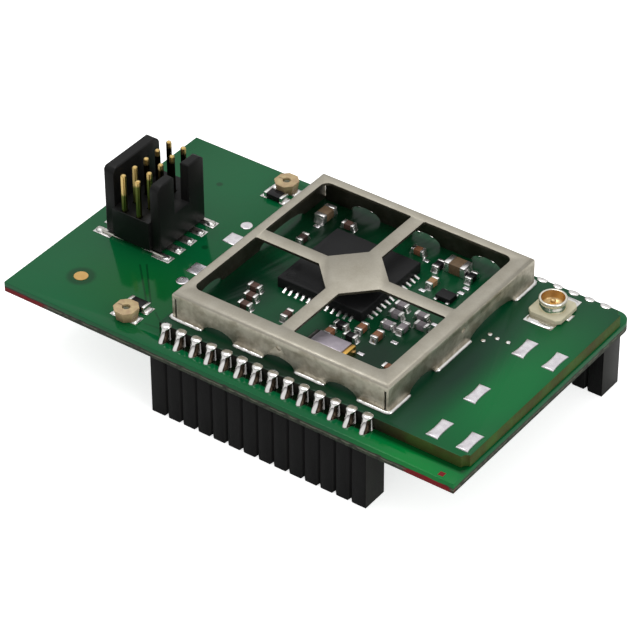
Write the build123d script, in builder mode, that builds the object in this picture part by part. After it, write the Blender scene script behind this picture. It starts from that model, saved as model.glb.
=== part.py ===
"""Radio module soldered to a carrier board that plugs on to two rows of pins.

Millimetres, +Z up. The origin is under the middle of the carrier board, on the plane that the
two socket strips stand on. Places on the board are measured from its front left corner: x runs
along its long side, y goes back, and heights are measured from the surface that a piece stands on.
"""
import math
import os
from build123d import *

# The smallest round features are drawn with this many sides, and those a little larger with twice as many
round_sides = 8

# Pins, rows and castellations share one pitch
pitch = 1.27
front_pin_count = 14
back_pin_count = 19
first_pin_x = 12.84
front_row_y = 1.65
row_spacing = 19.0

# Carrier board
board_thickness = 0.8
board_right_margin = 1.5
board_back_margin = 1.05
board_corner_round = 1.0
pin_hole_radius = 0.3

# Socket strips under the carrier
socket_height = 5.2
socket_width = 2.1
socket_groove = 0.16
socket_notch = 0.2
socket_roof = 1.1
socket_hole = 0.62
socket_mouth = 0.86
socket_mouth_depth = 0.22

# Contacts in the strips
contact_width = 0.44
contact_sheet = 0.12
contact_length = 3.4
contact_gap = 0.04
tail_width = 0.3
tail_sheet = 0.24
tail_slack = 0.03

# Radio module board
module_thickness = 0.92
module_left_margin = 0.59
module_right_margin = 1.38
castellation_radius = 0.3
corner_notch_radius = 0.42

# Solder joints in the castellations. The front is given as shares of the toe and of the height
joint_toe = 1.0
joint_front = ((1.0, 0.05), (0.72, 0.22), (0.32, 0.56), (0.12, 0.93))
joint_head_rise = 0.1
joint_head_reach = 0.42
joint_crown = 0.13
joint_head_width = 0.72
joint_waist_width = 0.46
joint_foot_width = 0.84

# Folded shield on the module
shield_left_inset = 0.44
shield_front_margin = 0.95
shield_back_margin = 0.73
antenna_length = 6.73
shield_height = 2.14
shield_sheet = 0.2
shield_bend = 0.3
shield_slit = 0.15
rim_left = 0.82
rim_right = 1.18
rim_front = 1.2
rim_back = 0.87
window_bar = 1.05
hub_cut = 2.0
window_outer_round = 0.6
window_round = 0.15
arch_height = 0.62
front_arch_count = 3
side_arch_front = 2.4
side_arch_length = 2.9
side_foot_length = 4.2
side_long_arch = 5.3
dimple_radius = 0.22
dimple_drop = 0.8
seam_width = 0.22
seam_height = 0.16
seam_waist = 0.07

# Debug header
header_x = 4.57
header_y = 11.1
header_row_count = 5
header_standoff = 0.35
header_floor_height = 2.66
header_top_height = 5.75
header_width = 4.8
header_wall = 0.73
header_full_wall = 0.88
header_wall_length = 5.15
header_base_end = 0.32
header_key = 1.65
header_round = 0.15
header_top_edge = 0.08
header_pin = 0.41
header_pin_height = 5.66
header_pin_point = 0.12
header_tail_reach = 3.24
header_tail_sheet = 0.2
header_pad_length = 1.5
header_pad_width = 0.76
header_pad_overhang = 0.1
pin_slack = 0.01

# Indicator lights and their resistors, each a pair on a short row of pads
light_x = 9.31
front_light_y = 1.8
back_light_y = 20.15
light_base_length = 1.66
light_base_width = 1.1
light_base_height = 0.24
light_length = 1.42
light_width = 1.46
light_height = 0.84
light_corner = 0.42
light_cup_radius = 0.4
light_cup_depth = 0.3
light_cup_angle = 20
light_lens_radius = 0.27
light_lens_depth = 0.18
front_resistor_y = 3.1
back_resistor_y = 18.85
resistor_length = 1.6
resistor_width = 0.8
resistor_height = 0.42
resistor_end = 0.25
light_pad_length = 0.56
light_pad_width = 0.9
resistor_pad_margin = 0.05

# Coaxial socket on the module
coax_right_margin = 3.98
coax_back_margin = 2.67
coax_base = 2.6
coax_base_height = 0.35
coax_base_corner = 0.31
coax_ring_radius = 1.0
coax_ring_wall = 0.17
coax_groove_height = 0.25
coax_groove_slope = 0.12
coax_groove_flat = 0.13
coax_groove_depth = 0.1
coax_height = 1.22
coax_pin_radius = 0.2
coax_pin_height = 1.0
coax_pad_length = 2.2
coax_pad_width = 0.95
coax_pad_overlap = 0.29
coax_signal_length = 0.55
coax_signal_width = 0.77
coax_signal_reach = 0.22

# Radio chip under the shield's hub
chip_size = 7.0
chip_height = 0.85
chip_edge = 0.06
chip_offset_x = -1.66
chip_offset_y = 1.72
chip_lead_count = 12
chip_lead_pitch = 0.5
chip_lead_width = 0.26
chip_lead_reach = 0.42
chip_lead_height = 0.2
chip_mark_radius = 0.35
chip_mark_depth = 0.04

# Crystal in the front right window. Parts under the shield are placed from its middle
crystal_length = 3.2
crystal_width = 1.3
crystal_height = 0.75
crystal_edge = 0.05
crystal_end = 0.34
crystal_end_height = 0.65
crystal_place = (1.89, -5.39)

# Small chip with leads in the back right window
small_chip_length = 1.2
small_chip_width = 0.9
small_chip_height = 0.4
small_chip_lead = 0.24
small_chip_lead_height = 0.2
small_chip_place = (4.96, 3.71)

# Chip capacitors, resistors and coils come in a few standard sizes: length, width, height
size_small = (1.0, 0.5, 0.45)
size_medium = (1.6, 0.8, 0.65)
size_large = (1.7, 1.0, 0.8)
end_cap_share = 0.24
end_cap_proud = 0.02

# Where they lie: place from the shield's middle, size and turn
front_left_capacitors = [(-6.16, -2.98, size_small, 0),
                         (-5.77, -3.96, size_small, 0),
                         (-5.51, -4.98, size_small, 0),
                         (-2.54, -4.24, size_small, 90)]
back_left_capacitor = [(-7.2, 6.68, size_medium, 90)]
back_left_resistor = [(-6.86, 3.46, size_small, 90)]
back_left_small_capacitor = [(-5.14, 6.59, size_small, 0)]
back_right_large_capacitor = [(3.88, 6.76, size_large, 0)]
back_right_capacitor = [(3.33, 4.44, size_small, 90)]
back_right_coil = [(0.52, 6.91, size_small, 0)]
back_right_resistors = [(2.58, 6.31, size_small, 90),
                        (5.18, 6.49, size_small, 90)]
front_right_capacitors = [(2.39, -2.51, size_small, 90),
                          (3.72, -2.61, size_small, 90),
                          (6.38, -5.06, size_small, 0)]
front_right_resistors = [(1.08, -3.06, size_small, 0),
                         (2.32, -3.71, size_small, 0)]
front_right_coil = [(0.88, -4.11, size_small, 90)]
matching_parts = [(3.18, 1.04, size_small, 0), (3.38, 0.09, size_small, 0),
                  (4.93, 0.89, size_small, 0), (3.63, -1.21, size_small, 0),
                  (4.62, -0.91, size_small, 90), (5.52, -0.01, size_small, 0)]

# Bare pads, spots of solder and the antenna's puddles
pad_height = 0.04
bare_pad_length = 0.5
bare_pad_width = 0.3
bare_pad_places = [(3.1, 3.55), (5.44, 5.46), (5.43, 4.82), (1.42, 6.51), (4.9, -2.32), (5.98, 0.84),
                   (3.77, -4.62), (-7.09, 5.46)]
puddle_height = 0.09
puddle_length = 1.95
puddle_width = 0.95
puddle_waist = 0.14
puddle_places = [(-3.21, 13.42), (-0.83, 13.38), (-3.13, 7.57), (-3.08, 3.16), (-0.77, 3.18)]
dot_radius = 0.18
dot_height = 0.1
dot_angle = 25
dot_places = [(-0.75, 12.51), (-0.11, 13.24), (0.72, 13.3), (-0.76, 13.35)]

# Bare pads and the alignment disc on the carrier
round_pad_radius = 0.45
round_pad_places = [(9.9, 7.2), (9.62, 14.95)]
square_pad_length = 1.1
square_pad_width = 1.2
square_pad_places = [(9.94, 8.86), (9.83, 13.13)]
fiducial_x = 3.9
fiducial_y = 3.58
fiducial_radius = 0.51
fiducial_height = 0.03

# Derived places
last_pin_x = first_pin_x + (back_pin_count - 1) * pitch
back_row_y = front_row_y + row_spacing
board_length = last_pin_x + board_right_margin
board_width = back_row_y + board_back_margin
deck_z = socket_height + board_thickness
module_z = deck_z + module_thickness
module_left = first_pin_x - module_left_margin
module_right = last_pin_x + module_right_margin
module_length = module_right - module_left
shield_left = module_left + shield_left_inset
shield_right = module_right - antenna_length
shield_length = shield_right - shield_left
shield_front = front_row_y + shield_front_margin
shield_back = back_row_y - shield_back_margin
shield_width = shield_back - shield_front
shield_x = (shield_left + shield_right) / 2
shield_y = (shield_front + shield_back) / 2
chip_x = shield_x + chip_offset_x
chip_y = shield_y + chip_offset_y
coax_x = module_right - coax_right_margin
coax_y = back_row_y - coax_back_margin
puddle_left = module_right + puddle_places[0][0] - puddle_width / 2
dot_middle = (shield_right + puddle_left) / 2


def spot(x, y, z):
    """A level plane at a place measured from the carrier's front left corner."""
    return Plane(origin=(x - board_length / 2, y - board_width / 2, z))


def row_places(count):
    """The pin places of one row, from its first pin."""
    return [(index * pitch, 0) for index in range(count)]


def under_shield(x, y):
    """A level plane on the module, at a place measured from the shield's middle."""
    return spot(shield_x + x, shield_y + y, module_z)


def make_carrier_board():
    """The carrier, with a hole for each contact's tail and one rounded corner."""
    with BuildPart() as board:
        with BuildSketch(spot(board_length / 2, board_width / 2, socket_height)) as outline:
            Rectangle(board_length, board_width)
            back_right = (board_length / 2, board_width / 2, 0)
            fillet(outline.vertices().sort_by_distance(back_right)[0], board_corner_round)
        extrude(amount=board_thickness)
        for row_y, count in ((front_row_y, front_pin_count), (back_row_y, back_pin_count)):
            with BuildSketch(spot(first_pin_x, row_y, socket_height)):
                with Locations(*row_places(count)):
                    RegularPolygon(pin_hole_radius, round_sides)
            extrude(amount=board_thickness, mode=Mode.SUBTRACT)
    return board


def make_module_board():
    """The module board, with a half round castellation at each pin and notched corners."""
    with BuildPart() as board:
        with BuildSketch(spot(module_left + module_length / 2, front_row_y + row_spacing / 2, deck_z)):
            Rectangle(module_length, row_spacing)
        extrude(amount=module_thickness)
        for row_y, count in ((front_row_y, front_pin_count), (back_row_y, back_pin_count)):
            with BuildSketch(spot(first_pin_x, row_y, deck_z)):
                with Locations(*row_places(count)):
                    RegularPolygon(castellation_radius, round_sides)
            extrude(amount=module_thickness, mode=Mode.SUBTRACT)
        with BuildSketch(spot(module_right, front_row_y, deck_z)):
            with Locations((0, 0), (0, row_spacing)):
                Circle(corner_notch_radius)
        extrude(amount=module_thickness, mode=Mode.SUBTRACT)
    return board


def make_socket(row_y, count):
    """A socket strip: one square section for each pin, parted by vee grooves, open at the bottom."""
    length = count * pitch
    with BuildPart() as strip:
        with BuildSketch(spot(first_pin_x, row_y, 0)):
            with Locations(((count - 1) * pitch / 2, 0)):
                Rectangle(length, socket_width)
            grooves = [(index * pitch + pitch / 2, side * socket_width / 2)
                       for index in range(count - 1) for side in (-1, 1)]
            with Locations(*grooves):
                Rectangle(socket_groove * 2 ** 0.5, socket_groove * 2 ** 0.5, rotation=45,
                          mode=Mode.SUBTRACT)
        extrude(amount=socket_height)
        notch_plane = Plane(origin=spot(first_pin_x, row_y, 0).origin, x_dir=(1, 0, 0), z_dir=(0, -1, 0))
        with BuildSketch(notch_plane):
            with Locations(*[(index * pitch + pitch / 2, 0) for index in range(count - 1)]):
                Rectangle(socket_notch * 2 ** 0.5, socket_notch * 2 ** 0.5, rotation=45)
        extrude(amount=socket_width, both=True, mode=Mode.SUBTRACT)
        with BuildSketch(spot(first_pin_x, row_y, 0)):
            with Locations(*row_places(count)):
                Rectangle(socket_mouth, socket_mouth)
        extrude(amount=socket_mouth_depth, mode=Mode.SUBTRACT)
        with BuildSketch(spot(first_pin_x, row_y, 0)):
            with Locations(*row_places(count)):
                Rectangle(socket_hole, socket_hole)
        extrude(amount=socket_height - socket_roof, mode=Mode.SUBTRACT)
        with BuildSketch(spot(first_pin_x, row_y, 0)):
            with Locations(*row_places(count)):
                Rectangle(tail_width + tail_slack, tail_sheet + tail_slack)
        extrude(amount=socket_height, mode=Mode.SUBTRACT)
    return strip


def make_contact():
    """One contact at the origin, seated under the socket's roof: two sprung arms and a tail."""
    seat = socket_height - socket_roof
    half = socket_hole / 2
    foot = seat - contact_length
    bridge = seat - contact_sheet
    with BuildPart() as contact:
        with BuildSketch(Plane.XZ):
            with BuildLine():
                Polyline((0, seat), (half, seat), (contact_gap / 2 + contact_sheet, foot),
                         (contact_gap / 2, foot), (half - contact_sheet, bridge), (0, bridge), close=True)
            make_face()
            mirror(about=Plane.YZ)
        extrude(amount=contact_width / 2, both=True)
        with BuildSketch(Plane.XY.offset(seat)):
            Rectangle(tail_width, tail_sheet)
        extrude(amount=deck_z + module_thickness / 2 - seat)
    return contact


def make_contacts(row_y, count):
    contact = make_contact()
    with BuildPart() as contacts:
        with Locations(*[spot(first_pin_x + index * pitch, row_y, 0).location for index in range(count)]):
            add(contact.part)
    return contacts


def make_joint():
    """One solder joint at the origin of the deck, with its toe towards -Y.

    It fills the castellation, holds the tail that comes up through the carrier, spreads over both
    boards, and is drawn in at its waist by the solder's surface.
    """
    top = module_thickness + joint_head_rise
    front = [(-joint_toe * out, top * up) for out, up in joint_front]
    with BuildPart() as joint:
        with BuildSketch(Plane.YZ):
            with BuildLine():
                Line((joint_head_reach, 0), (-joint_toe, 0))
                Polyline((-joint_toe, 0), *front, (joint_crown, top), (joint_head_reach, module_thickness))
                Line((joint_head_reach, module_thickness), (joint_head_reach, 0))
            make_face()
        extrude(amount=joint_foot_width, both=True)
        with BuildSketch(Plane.XZ):
            with BuildLine():
                Polyline((0, 0), (joint_foot_width / 2, 0), (joint_waist_width / 2, module_thickness / 2),
                         (joint_head_width / 2, module_thickness), (joint_head_width / 2, top), (0, top),
                         close=True)
            make_face()
            mirror(about=Plane.YZ)
        extrude(amount=joint_toe * 2, both=True, mode=Mode.INTERSECT)
        with BuildSketch(Plane.XY):
            with Locations((0, joint_toe)):
                Rectangle(joint_toe * 2, joint_toe * 2)
            RegularPolygon(castellation_radius, round_sides, mode=Mode.SUBTRACT)
        extrude(amount=module_thickness, mode=Mode.SUBTRACT)
        with BuildSketch(Plane.XY):
            Rectangle(tail_width, tail_sheet)
        extrude(amount=module_thickness / 2, mode=Mode.SUBTRACT)
    return joint


def make_joints(row_y, count, turn):
    joint = make_joint()
    places = [spot(first_pin_x + index * pitch, row_y, deck_z).location * Rot(0, 0, turn)
              for index in range(count)]
    with BuildPart() as joints:
        with Locations(*places):
            add(joint.part)
    return joints


def window_outline(corner):
    """The corners of one shield window, from its outer corner round to the hub's cut."""
    middle_x = (shield_left + rim_left + shield_right - rim_right) / 2
    middle_y = (shield_front + rim_front + shield_back - rim_back) / 2
    outer_x = shield_right - rim_right if "right" in corner else shield_left + rim_left
    outer_y = shield_back - rim_back if "back" in corner else shield_front + rim_front
    toward_x = -1 if "right" in corner else 1
    toward_y = -1 if "back" in corner else 1
    inner_x = middle_x - toward_x * window_bar / 2
    inner_y = middle_y - toward_y * window_bar / 2
    return [(outer_x, outer_y), (inner_x, outer_y), (inner_x, inner_y - toward_y * hub_cut),
            (inner_x - toward_x * hub_cut, inner_y), (outer_x, inner_y)]


def arch_face(width):
    """A shallow half ellipse that stands on the local X axis."""
    turns = [index * math.pi / round_sides for index in range(round_sides + 1)]
    with BuildSketch() as arch:
        with BuildLine():
            Polyline(*[(width / 2 * math.cos(turn), arch_height * math.sin(turn)) for turn in turns],
                     close=True)
        make_face()
    return arch.sketch


def make_shield():
    """One sheet folded down on four sides, with four windows, arched feet and open corners."""
    top = module_z + shield_height
    with BuildPart() as shield:
        with BuildSketch(spot(shield_x, shield_y, module_z)):
            Rectangle(shield_length, shield_width)
        extrude(amount=shield_height)
        fillet(shield.faces().sort_by(Axis.Z)[-1].edges(), shield_bend)
        offset(amount=-shield_sheet, openings=shield.faces().sort_by(Axis.Z)[0])
        for corner in ("front left", "front right", "back left", "back right"):
            outline = window_outline(corner)
            with BuildSketch(spot(0, 0, top)) as window:
                with BuildLine():
                    Polyline(*outline, close=True)
                make_face()
                for place, radius in ((outline[0], window_outer_round), (outline[1], window_round),
                                      (outline[-1], window_round)):
                    fillet(window.vertices().sort_by_distance((*place, 0))[0], radius)
            extrude(amount=-shield_sheet * 2, mode=Mode.SUBTRACT)
        front_plane = Plane(origin=spot(shield_x, shield_y, module_z).origin, x_dir=(1, 0, 0),
                            z_dir=(0, -1, 0))
        step = shield_length / (2 * front_arch_count + 1)
        first_arch = -step * (front_arch_count - 1)
        arch_places = [(first_arch + 2 * step * index, 0) for index in range(front_arch_count)]
        with BuildSketch(front_plane):
            with Locations(*arch_places):
                add(arch_face(step))
        extrude(amount=shield_width, both=True, mode=Mode.SUBTRACT)
        side_plane = Plane(origin=spot(shield_x, shield_front, module_z).origin, x_dir=(0, 1, 0),
                           z_dir=(1, 0, 0))
        short_middle = side_arch_front + side_arch_length / 2
        long_middle = side_arch_front + side_arch_length + side_foot_length + side_long_arch / 2
        with BuildSketch(side_plane):
            with Locations((short_middle, 0)):
                add(arch_face(side_arch_length))
            with Locations((long_middle, 0)):
                add(arch_face(side_long_arch))
        extrude(amount=shield_length, both=True, mode=Mode.SUBTRACT)
        slit_x = shield_length / 2 - shield_sheet - shield_slit / 2
        with BuildSketch(spot(shield_x, shield_y, module_z)):
            with Locations(*[(across * slit_x, along * shield_width / 2) for across in (-1, 1)
                             for along in (-1, 1)]):
                Rectangle(shield_slit, shield_sheet * 3)
        extrude(amount=shield_height - shield_bend - shield_sheet, mode=Mode.SUBTRACT)
        dimple_z = top - dimple_drop
        with BuildSketch(Plane(origin=spot(shield_x, shield_front, dimple_z).origin, z_dir=(0, -1, 0))):
            RegularPolygon(dimple_radius, round_sides)
        extrude(amount=-shield_sheet / 2, mode=Mode.SUBTRACT)
        with BuildSketch(Plane(origin=spot(shield_right, shield_y, dimple_z).origin, z_dir=(1, 0, 0))):
            RegularPolygon(dimple_radius, round_sides)
        extrude(amount=-shield_sheet / 2, mode=Mode.SUBTRACT)
    return shield


def seam(length):
    """A fillet of solder along a foot: it stands on local X and leans on the wall behind it."""
    with BuildPart() as bead:
        with BuildSketch(Plane.YZ):
            with BuildLine():
                Polyline((0, 0), (-seam_width, 0), (-seam_waist, seam_waist), (0, seam_height), close=True)
            make_face()
        extrude(amount=length / 2, both=True)
    return bead.part


def make_shield_solder():
    """A seam along the outside of each soldered foot of the shield."""
    step = shield_length / (2 * front_arch_count + 1)
    short_foot = side_arch_front
    long_foot_middle = side_arch_front + side_arch_length + side_foot_length / 2
    last_foot = shield_width - side_arch_front - side_arch_length - side_foot_length - side_long_arch
    with BuildPart() as beads:
        for index in range(front_arch_count + 1):
            x = shield_left + step * (2 * index + 0.5)
            for y, turn in ((shield_front, 0), (shield_back, 180)):
                with Locations(spot(x, y, module_z).location * Rot(0, 0, turn)):
                    add(seam(step))
        for x, turn in ((shield_right, 90), (shield_left, -90)):
            for middle, length in ((short_foot / 2, short_foot), (long_foot_middle, side_foot_length),
                                   (shield_width - last_foot / 2, last_foot)):
                with Locations(spot(x, shield_front + middle, module_z).location * Rot(0, 0, turn)):
                    add(seam(length))
    return beads


def make_header_shroud():
    """The header's moulding: a low base that holds the pins, a full wall and a keyed wall."""
    base_width = header_width - header_wall - header_full_wall
    base_length = (header_row_count - 1) * pitch + 2 * header_base_end
    wall_x = header_width / 2 - header_wall / 2
    full_wall_x = header_full_wall / 2 - header_width / 2
    bottom = deck_z + header_standoff
    with BuildPart() as shroud:
        with BuildSketch(spot(header_x, header_y, bottom)):
            with Locations(((header_full_wall - header_wall) / 2, 0)):
                Rectangle(base_width, base_length)
        extrude(amount=header_floor_height - header_standoff)
        with BuildSketch(spot(header_x, header_y, bottom)):
            with Locations((full_wall_x, 0)):
                Rectangle(header_full_wall, header_wall_length)
            with Locations((wall_x, 0)):
                Rectangle(header_wall, header_wall_length)
        extrude(amount=header_top_height - header_standoff)
        with BuildSketch(spot(header_x, header_y, deck_z + header_floor_height)):
            with Locations((wall_x, 0)):
                Rectangle(header_wall * 2, header_key)
        extrude(amount=header_top_height, mode=Mode.SUBTRACT)
        outer_corners = shroud.edges().filter_by(Axis.Z).group_by(Axis.X)
        fillet(outer_corners[0] + outer_corners[-1].sort_by(Axis.Y)[0:1]
               + outer_corners[-1].sort_by(Axis.Y)[-1:], header_round)
        chamfer(shroud.faces().sort_by(Axis.Z)[-3:].edges(), header_top_edge)
        with BuildSketch(spot(header_x, header_y, bottom)):
            with GridLocations(pitch, pitch, 2, header_row_count):
                Rectangle(header_pin + pin_slack, header_pin + pin_slack)
        extrude(amount=header_floor_height, mode=Mode.SUBTRACT)
    return shroud


def make_header_pin():
    """One square pin, its tail bent out towards +X and laid on the pad."""
    half = header_pin / 2
    reach = header_tail_reach - pitch / 2
    with BuildPart() as pin:
        with BuildSketch(Plane.XZ) as side:
            with BuildLine():
                Polyline((-half, pad_height), (reach, pad_height), (reach, pad_height + header_tail_sheet),
                         (half, pad_height + header_tail_sheet), (half, header_pin_height),
                         (-half, header_pin_height), close=True)
            make_face()
            chamfer(side.vertices().sort_by_distance((-half, pad_height, 0))[0], header_tail_sheet)
        extrude(amount=half, both=True)
        chamfer(pin.faces().sort_by(Axis.Z)[-1].edges(), header_pin_point)
    return pin


def header_places():
    """Where each header pin stands, with the turn that sends its tail outwards."""
    places = []
    for index in range(header_row_count):
        y = header_y + (index - (header_row_count - 1) / 2) * pitch
        for side, turn in ((-1, 180), (1, 0)):
            places.append(spot(header_x + side * pitch / 2, y, deck_z).location * Rot(0, 0, turn))
    return places


def make_header_pins():
    pin = make_header_pin()
    with BuildPart() as pins:
        with Locations(*header_places()):
            add(pin.part)
    return pins


def make_header_pads():
    """The silvered pad under each header tail."""
    reach = header_tail_reach - pitch / 2
    with BuildPart() as pads:
        for place in header_places():
            with BuildSketch(Plane(place)):
                with Locations((reach + header_pad_overhang - header_pad_length / 2, 0)):
                    Rectangle(header_pad_length, header_pad_width)
            extrude(amount=pad_height)
    return pads


def make_light_body(y):
    """An indicator light: a flat base with a cut-cornered cup moulded on it."""
    with BuildPart() as body:
        with BuildSketch(spot(light_x, y, deck_z + pad_height)):
            Rectangle(light_base_length, light_base_width)
        extrude(amount=light_base_height)
        with BuildSketch(spot(light_x, y, deck_z + pad_height)) as cup:
            Rectangle(light_length, light_width)
            chamfer(cup.vertices(), light_corner)
        extrude(amount=light_height)
        with BuildSketch(spot(light_x, y, deck_z + pad_height + light_height)):
            RegularPolygon(light_cup_radius, 2 * round_sides)
        extrude(amount=-light_cup_depth, mode=Mode.SUBTRACT, taper=light_cup_angle)
    return body


def make_light_lens(y):
    """The clear drop that fills the bottom of the light's cup."""
    floor_z = deck_z + pad_height + light_height - light_cup_depth
    with BuildPart() as lens:
        with BuildSketch(spot(light_x, y, floor_z)):
            RegularPolygon(light_lens_radius, round_sides)
        extrude(amount=light_lens_depth)
    return lens


def make_light_pads():
    """The pads at both ends of each light and of its resistor."""
    light_pad = (light_pad_length, light_pad_width)
    resistor_pad = (light_pad_length, resistor_width + 2 * resistor_pad_margin)
    with BuildPart() as pads:
        for y, size, length in ((front_light_y, light_pad, light_base_length),
                                (back_light_y, light_pad, light_base_length),
                                (front_resistor_y, resistor_pad, resistor_length),
                                (back_resistor_y, resistor_pad, resistor_length)):
            with BuildSketch(spot(light_x, y, deck_z)):
                with Locations((-length / 2, 0), (length / 2, 0)):
                    Rectangle(*size)
            extrude(amount=pad_height)
    return pads


def make_resistor(y):
    with BuildPart() as resistor:
        with BuildSketch(spot(light_x, y, deck_z + pad_height)):
            Rectangle(resistor_length - 2 * resistor_end, resistor_width)
        extrude(amount=resistor_height)
    return resistor


def make_resistor_ends(y):
    reach = (resistor_length - resistor_end) / 2
    with BuildPart() as ends:
        with BuildSketch(spot(light_x, y, deck_z + pad_height)):
            with Locations((-reach, 0), (reach, 0)):
                Rectangle(resistor_end, resistor_width)
        extrude(amount=resistor_height + end_cap_proud)
    return ends


def make_coax_base():
    """The coaxial socket's moulded base, with two cut corners and room for the ring."""
    with BuildPart() as base:
        with BuildSketch(spot(coax_x, coax_y, module_z + pad_height)) as outline:
            Rectangle(coax_base, coax_base)
            chamfer(outline.vertices(), coax_base_corner)
        extrude(amount=coax_base_height)
        with BuildSketch(spot(coax_x, coax_y, module_z + pad_height)):
            RegularPolygon(coax_pin_radius, 2 * round_sides)
        extrude(amount=coax_base_height, mode=Mode.SUBTRACT)
    return base


def make_coax_shell():
    """The snap ring: a thin tube with a groove round it and a rolled rim."""
    outer = coax_ring_radius
    inner = coax_ring_radius - coax_ring_wall
    waist = coax_ring_radius - coax_groove_depth
    foot = module_z + pad_height + coax_base_height
    height = coax_height - pad_height - coax_base_height
    waist_low = coax_groove_height + coax_groove_slope
    waist_high = waist_low + coax_groove_flat
    with BuildPart() as shell:
        with BuildSketch(Plane(origin=spot(coax_x, coax_y, foot).origin, x_dir=(1, 0, 0), z_dir=(0, -1, 0))):
            with BuildLine():
                Polyline((inner, 0), (outer, 0), (outer, coax_groove_height), (waist, waist_low),
                         (waist, waist_high), (outer, waist_high + coax_groove_slope), (outer, height),
                         (inner, height), close=True)
            make_face()
        revolve(axis=Axis(origin=spot(coax_x, coax_y, foot).origin, direction=(0, 0, 1)))
    return shell


def make_coax_pin():
    with BuildPart() as pin:
        with BuildSketch(spot(coax_x, coax_y, module_z + pad_height)):
            RegularPolygon(coax_pin_radius, 2 * round_sides)
        extrude(amount=coax_pin_height)
    return pin


def make_coax_pads():
    """Two long ground pads at the socket's sides and a signal pad under its right edge."""
    across = coax_base / 2 + coax_pad_width / 2 - coax_pad_overlap
    with BuildPart() as pads:
        with BuildSketch(spot(coax_x, coax_y, module_z)):
            with Locations((0, -across), (0, across)):
                Rectangle(coax_pad_length, coax_pad_width)
            with Locations((coax_base / 2 + coax_signal_reach - coax_signal_length / 2, 0)):
                Rectangle(coax_signal_length, coax_signal_width)
        extrude(amount=pad_height)
    return pads


def make_chip():
    with BuildPart() as chip:
        with BuildSketch(spot(chip_x, chip_y, module_z)):
            Rectangle(chip_size, chip_size)
        extrude(amount=chip_height)
        chamfer(chip.faces().sort_by(Axis.Z)[-1].edges(), chip_edge)
        corner = chip_size / 2 - chip_mark_radius * 2
        with BuildSketch(spot(chip_x - corner, chip_y - corner, module_z + chip_height)):
            RegularPolygon(chip_mark_radius, 2 * round_sides)
        extrude(amount=-chip_mark_depth, mode=Mode.SUBTRACT)
    return chip


def make_chip_leads():
    """The soldered ends of the chip's leads, which show round its foot."""
    edge = chip_size / 2 + chip_lead_reach / 2
    span = (chip_lead_count - 1) * chip_lead_pitch
    with BuildPart() as leads:
        with BuildSketch(spot(chip_x, chip_y, module_z)):
            for index in range(chip_lead_count):
                along = index * chip_lead_pitch - span / 2
                with Locations((along, -edge), (along, edge)):
                    Rectangle(chip_lead_width, chip_lead_reach)
                with Locations((-edge, along), (edge, along)):
                    Rectangle(chip_lead_reach, chip_lead_width)
        extrude(amount=chip_lead_height)
    return leads


def make_crystal_can():
    with BuildPart() as can:
        with BuildSketch(under_shield(*crystal_place)):
            Rectangle(crystal_length - 2 * crystal_end, crystal_width)
        extrude(amount=crystal_height)
        chamfer(can.faces().sort_by(Axis.Z)[-1].edges(), crystal_edge)
    return can


def make_crystal_ends():
    reach = (crystal_length - crystal_end) / 2
    with BuildPart() as ends:
        with BuildSketch(under_shield(*crystal_place)):
            with Locations((-reach, 0), (reach, 0)):
                Rectangle(crystal_end, crystal_width)
        extrude(amount=crystal_end_height)
    return ends


def part_place(x, y, turn):
    return under_shield(x, y).location * Rot(0, 0, turn)


def make_chip_bodies(parts):
    """The bodies of some chip parts, between their end caps."""
    with BuildPart() as bodies:
        for x, y, (length, width, height), turn in parts:
            with BuildSketch(Plane(part_place(x, y, turn))):
                Rectangle(length * (1 - 2 * end_cap_share), width)
            extrude(amount=height)
    return bodies


def make_chip_part_ends():
    """The soldered end caps of every chip part under the shield."""
    with BuildPart() as ends:
        for parts in chip_parts.values():
            for x, y, (length, width, height), turn in parts:
                cap = length * end_cap_share
                reach = (length - cap) / 2
                with BuildSketch(Plane(part_place(x, y, turn))):
                    with Locations((-reach, 0), (reach, 0)):
                        Rectangle(cap, width + 2 * end_cap_proud)
                extrude(amount=height + end_cap_proud)
    return ends


def make_small_chip():
    with BuildPart() as chip:
        with BuildSketch(under_shield(*small_chip_place)):
            Rectangle(small_chip_length, small_chip_width)
        extrude(amount=small_chip_height)
    return chip


def make_small_chip_leads():
    across = (small_chip_width + small_chip_lead) / 2
    along = (small_chip_length - small_chip_lead) / 2
    with BuildPart() as leads:
        with BuildSketch(under_shield(*small_chip_place)):
            with Locations((-along, -across), (along, -across), (-along, across), (along, across)):
                Rectangle(small_chip_lead, small_chip_lead)
        extrude(amount=small_chip_lead_height)
    return leads


def make_bare_pads():
    """Silvered pads on the module that carry no part."""
    with BuildPart() as pads:
        with BuildSketch(under_shield(0, 0)):
            with Locations(*bare_pad_places):
                Rectangle(bare_pad_length, bare_pad_width)
        extrude(amount=pad_height)
    return pads


def make_antenna_pads():
    """Puddles of solder by the antenna, drawn in at their waists."""
    half = puddle_width / 2
    end = puddle_length / 2
    with BuildPart() as pads:
        for x, y in puddle_places:
            with BuildSketch(spot(module_right + x, y, module_z)):
                with BuildLine():
                    Line((-half, -end), (half, -end))
                    ThreePointArc((half, -end), (half - puddle_waist, 0), (half, end))
                    Line((half, end), (-half, end))
                    ThreePointArc((-half, end), (puddle_waist - half, 0), (-half, -end))
                make_face()
            extrude(amount=puddle_height)
    return pads


def make_solder_dots():
    """Small raised spots of solder on the module, between the shield and the antenna."""
    with BuildPart() as dots:
        for x, y in dot_places:
            with BuildSketch(spot(dot_middle + x, y, module_z)):
                RegularPolygon(dot_radius, round_sides)
            extrude(amount=dot_height, taper=dot_angle)
    return dots


def make_carrier_pads():
    """Bare pads on the carrier, between the header and the module."""
    with BuildPart() as pads:
        with BuildSketch(spot(0, 0, deck_z)):
            with Locations(*round_pad_places):
                RegularPolygon(round_pad_radius, 2 * round_sides)
            with Locations(*square_pad_places):
                Rectangle(square_pad_length, square_pad_width)
        extrude(amount=pad_height)
    return pads


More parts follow.
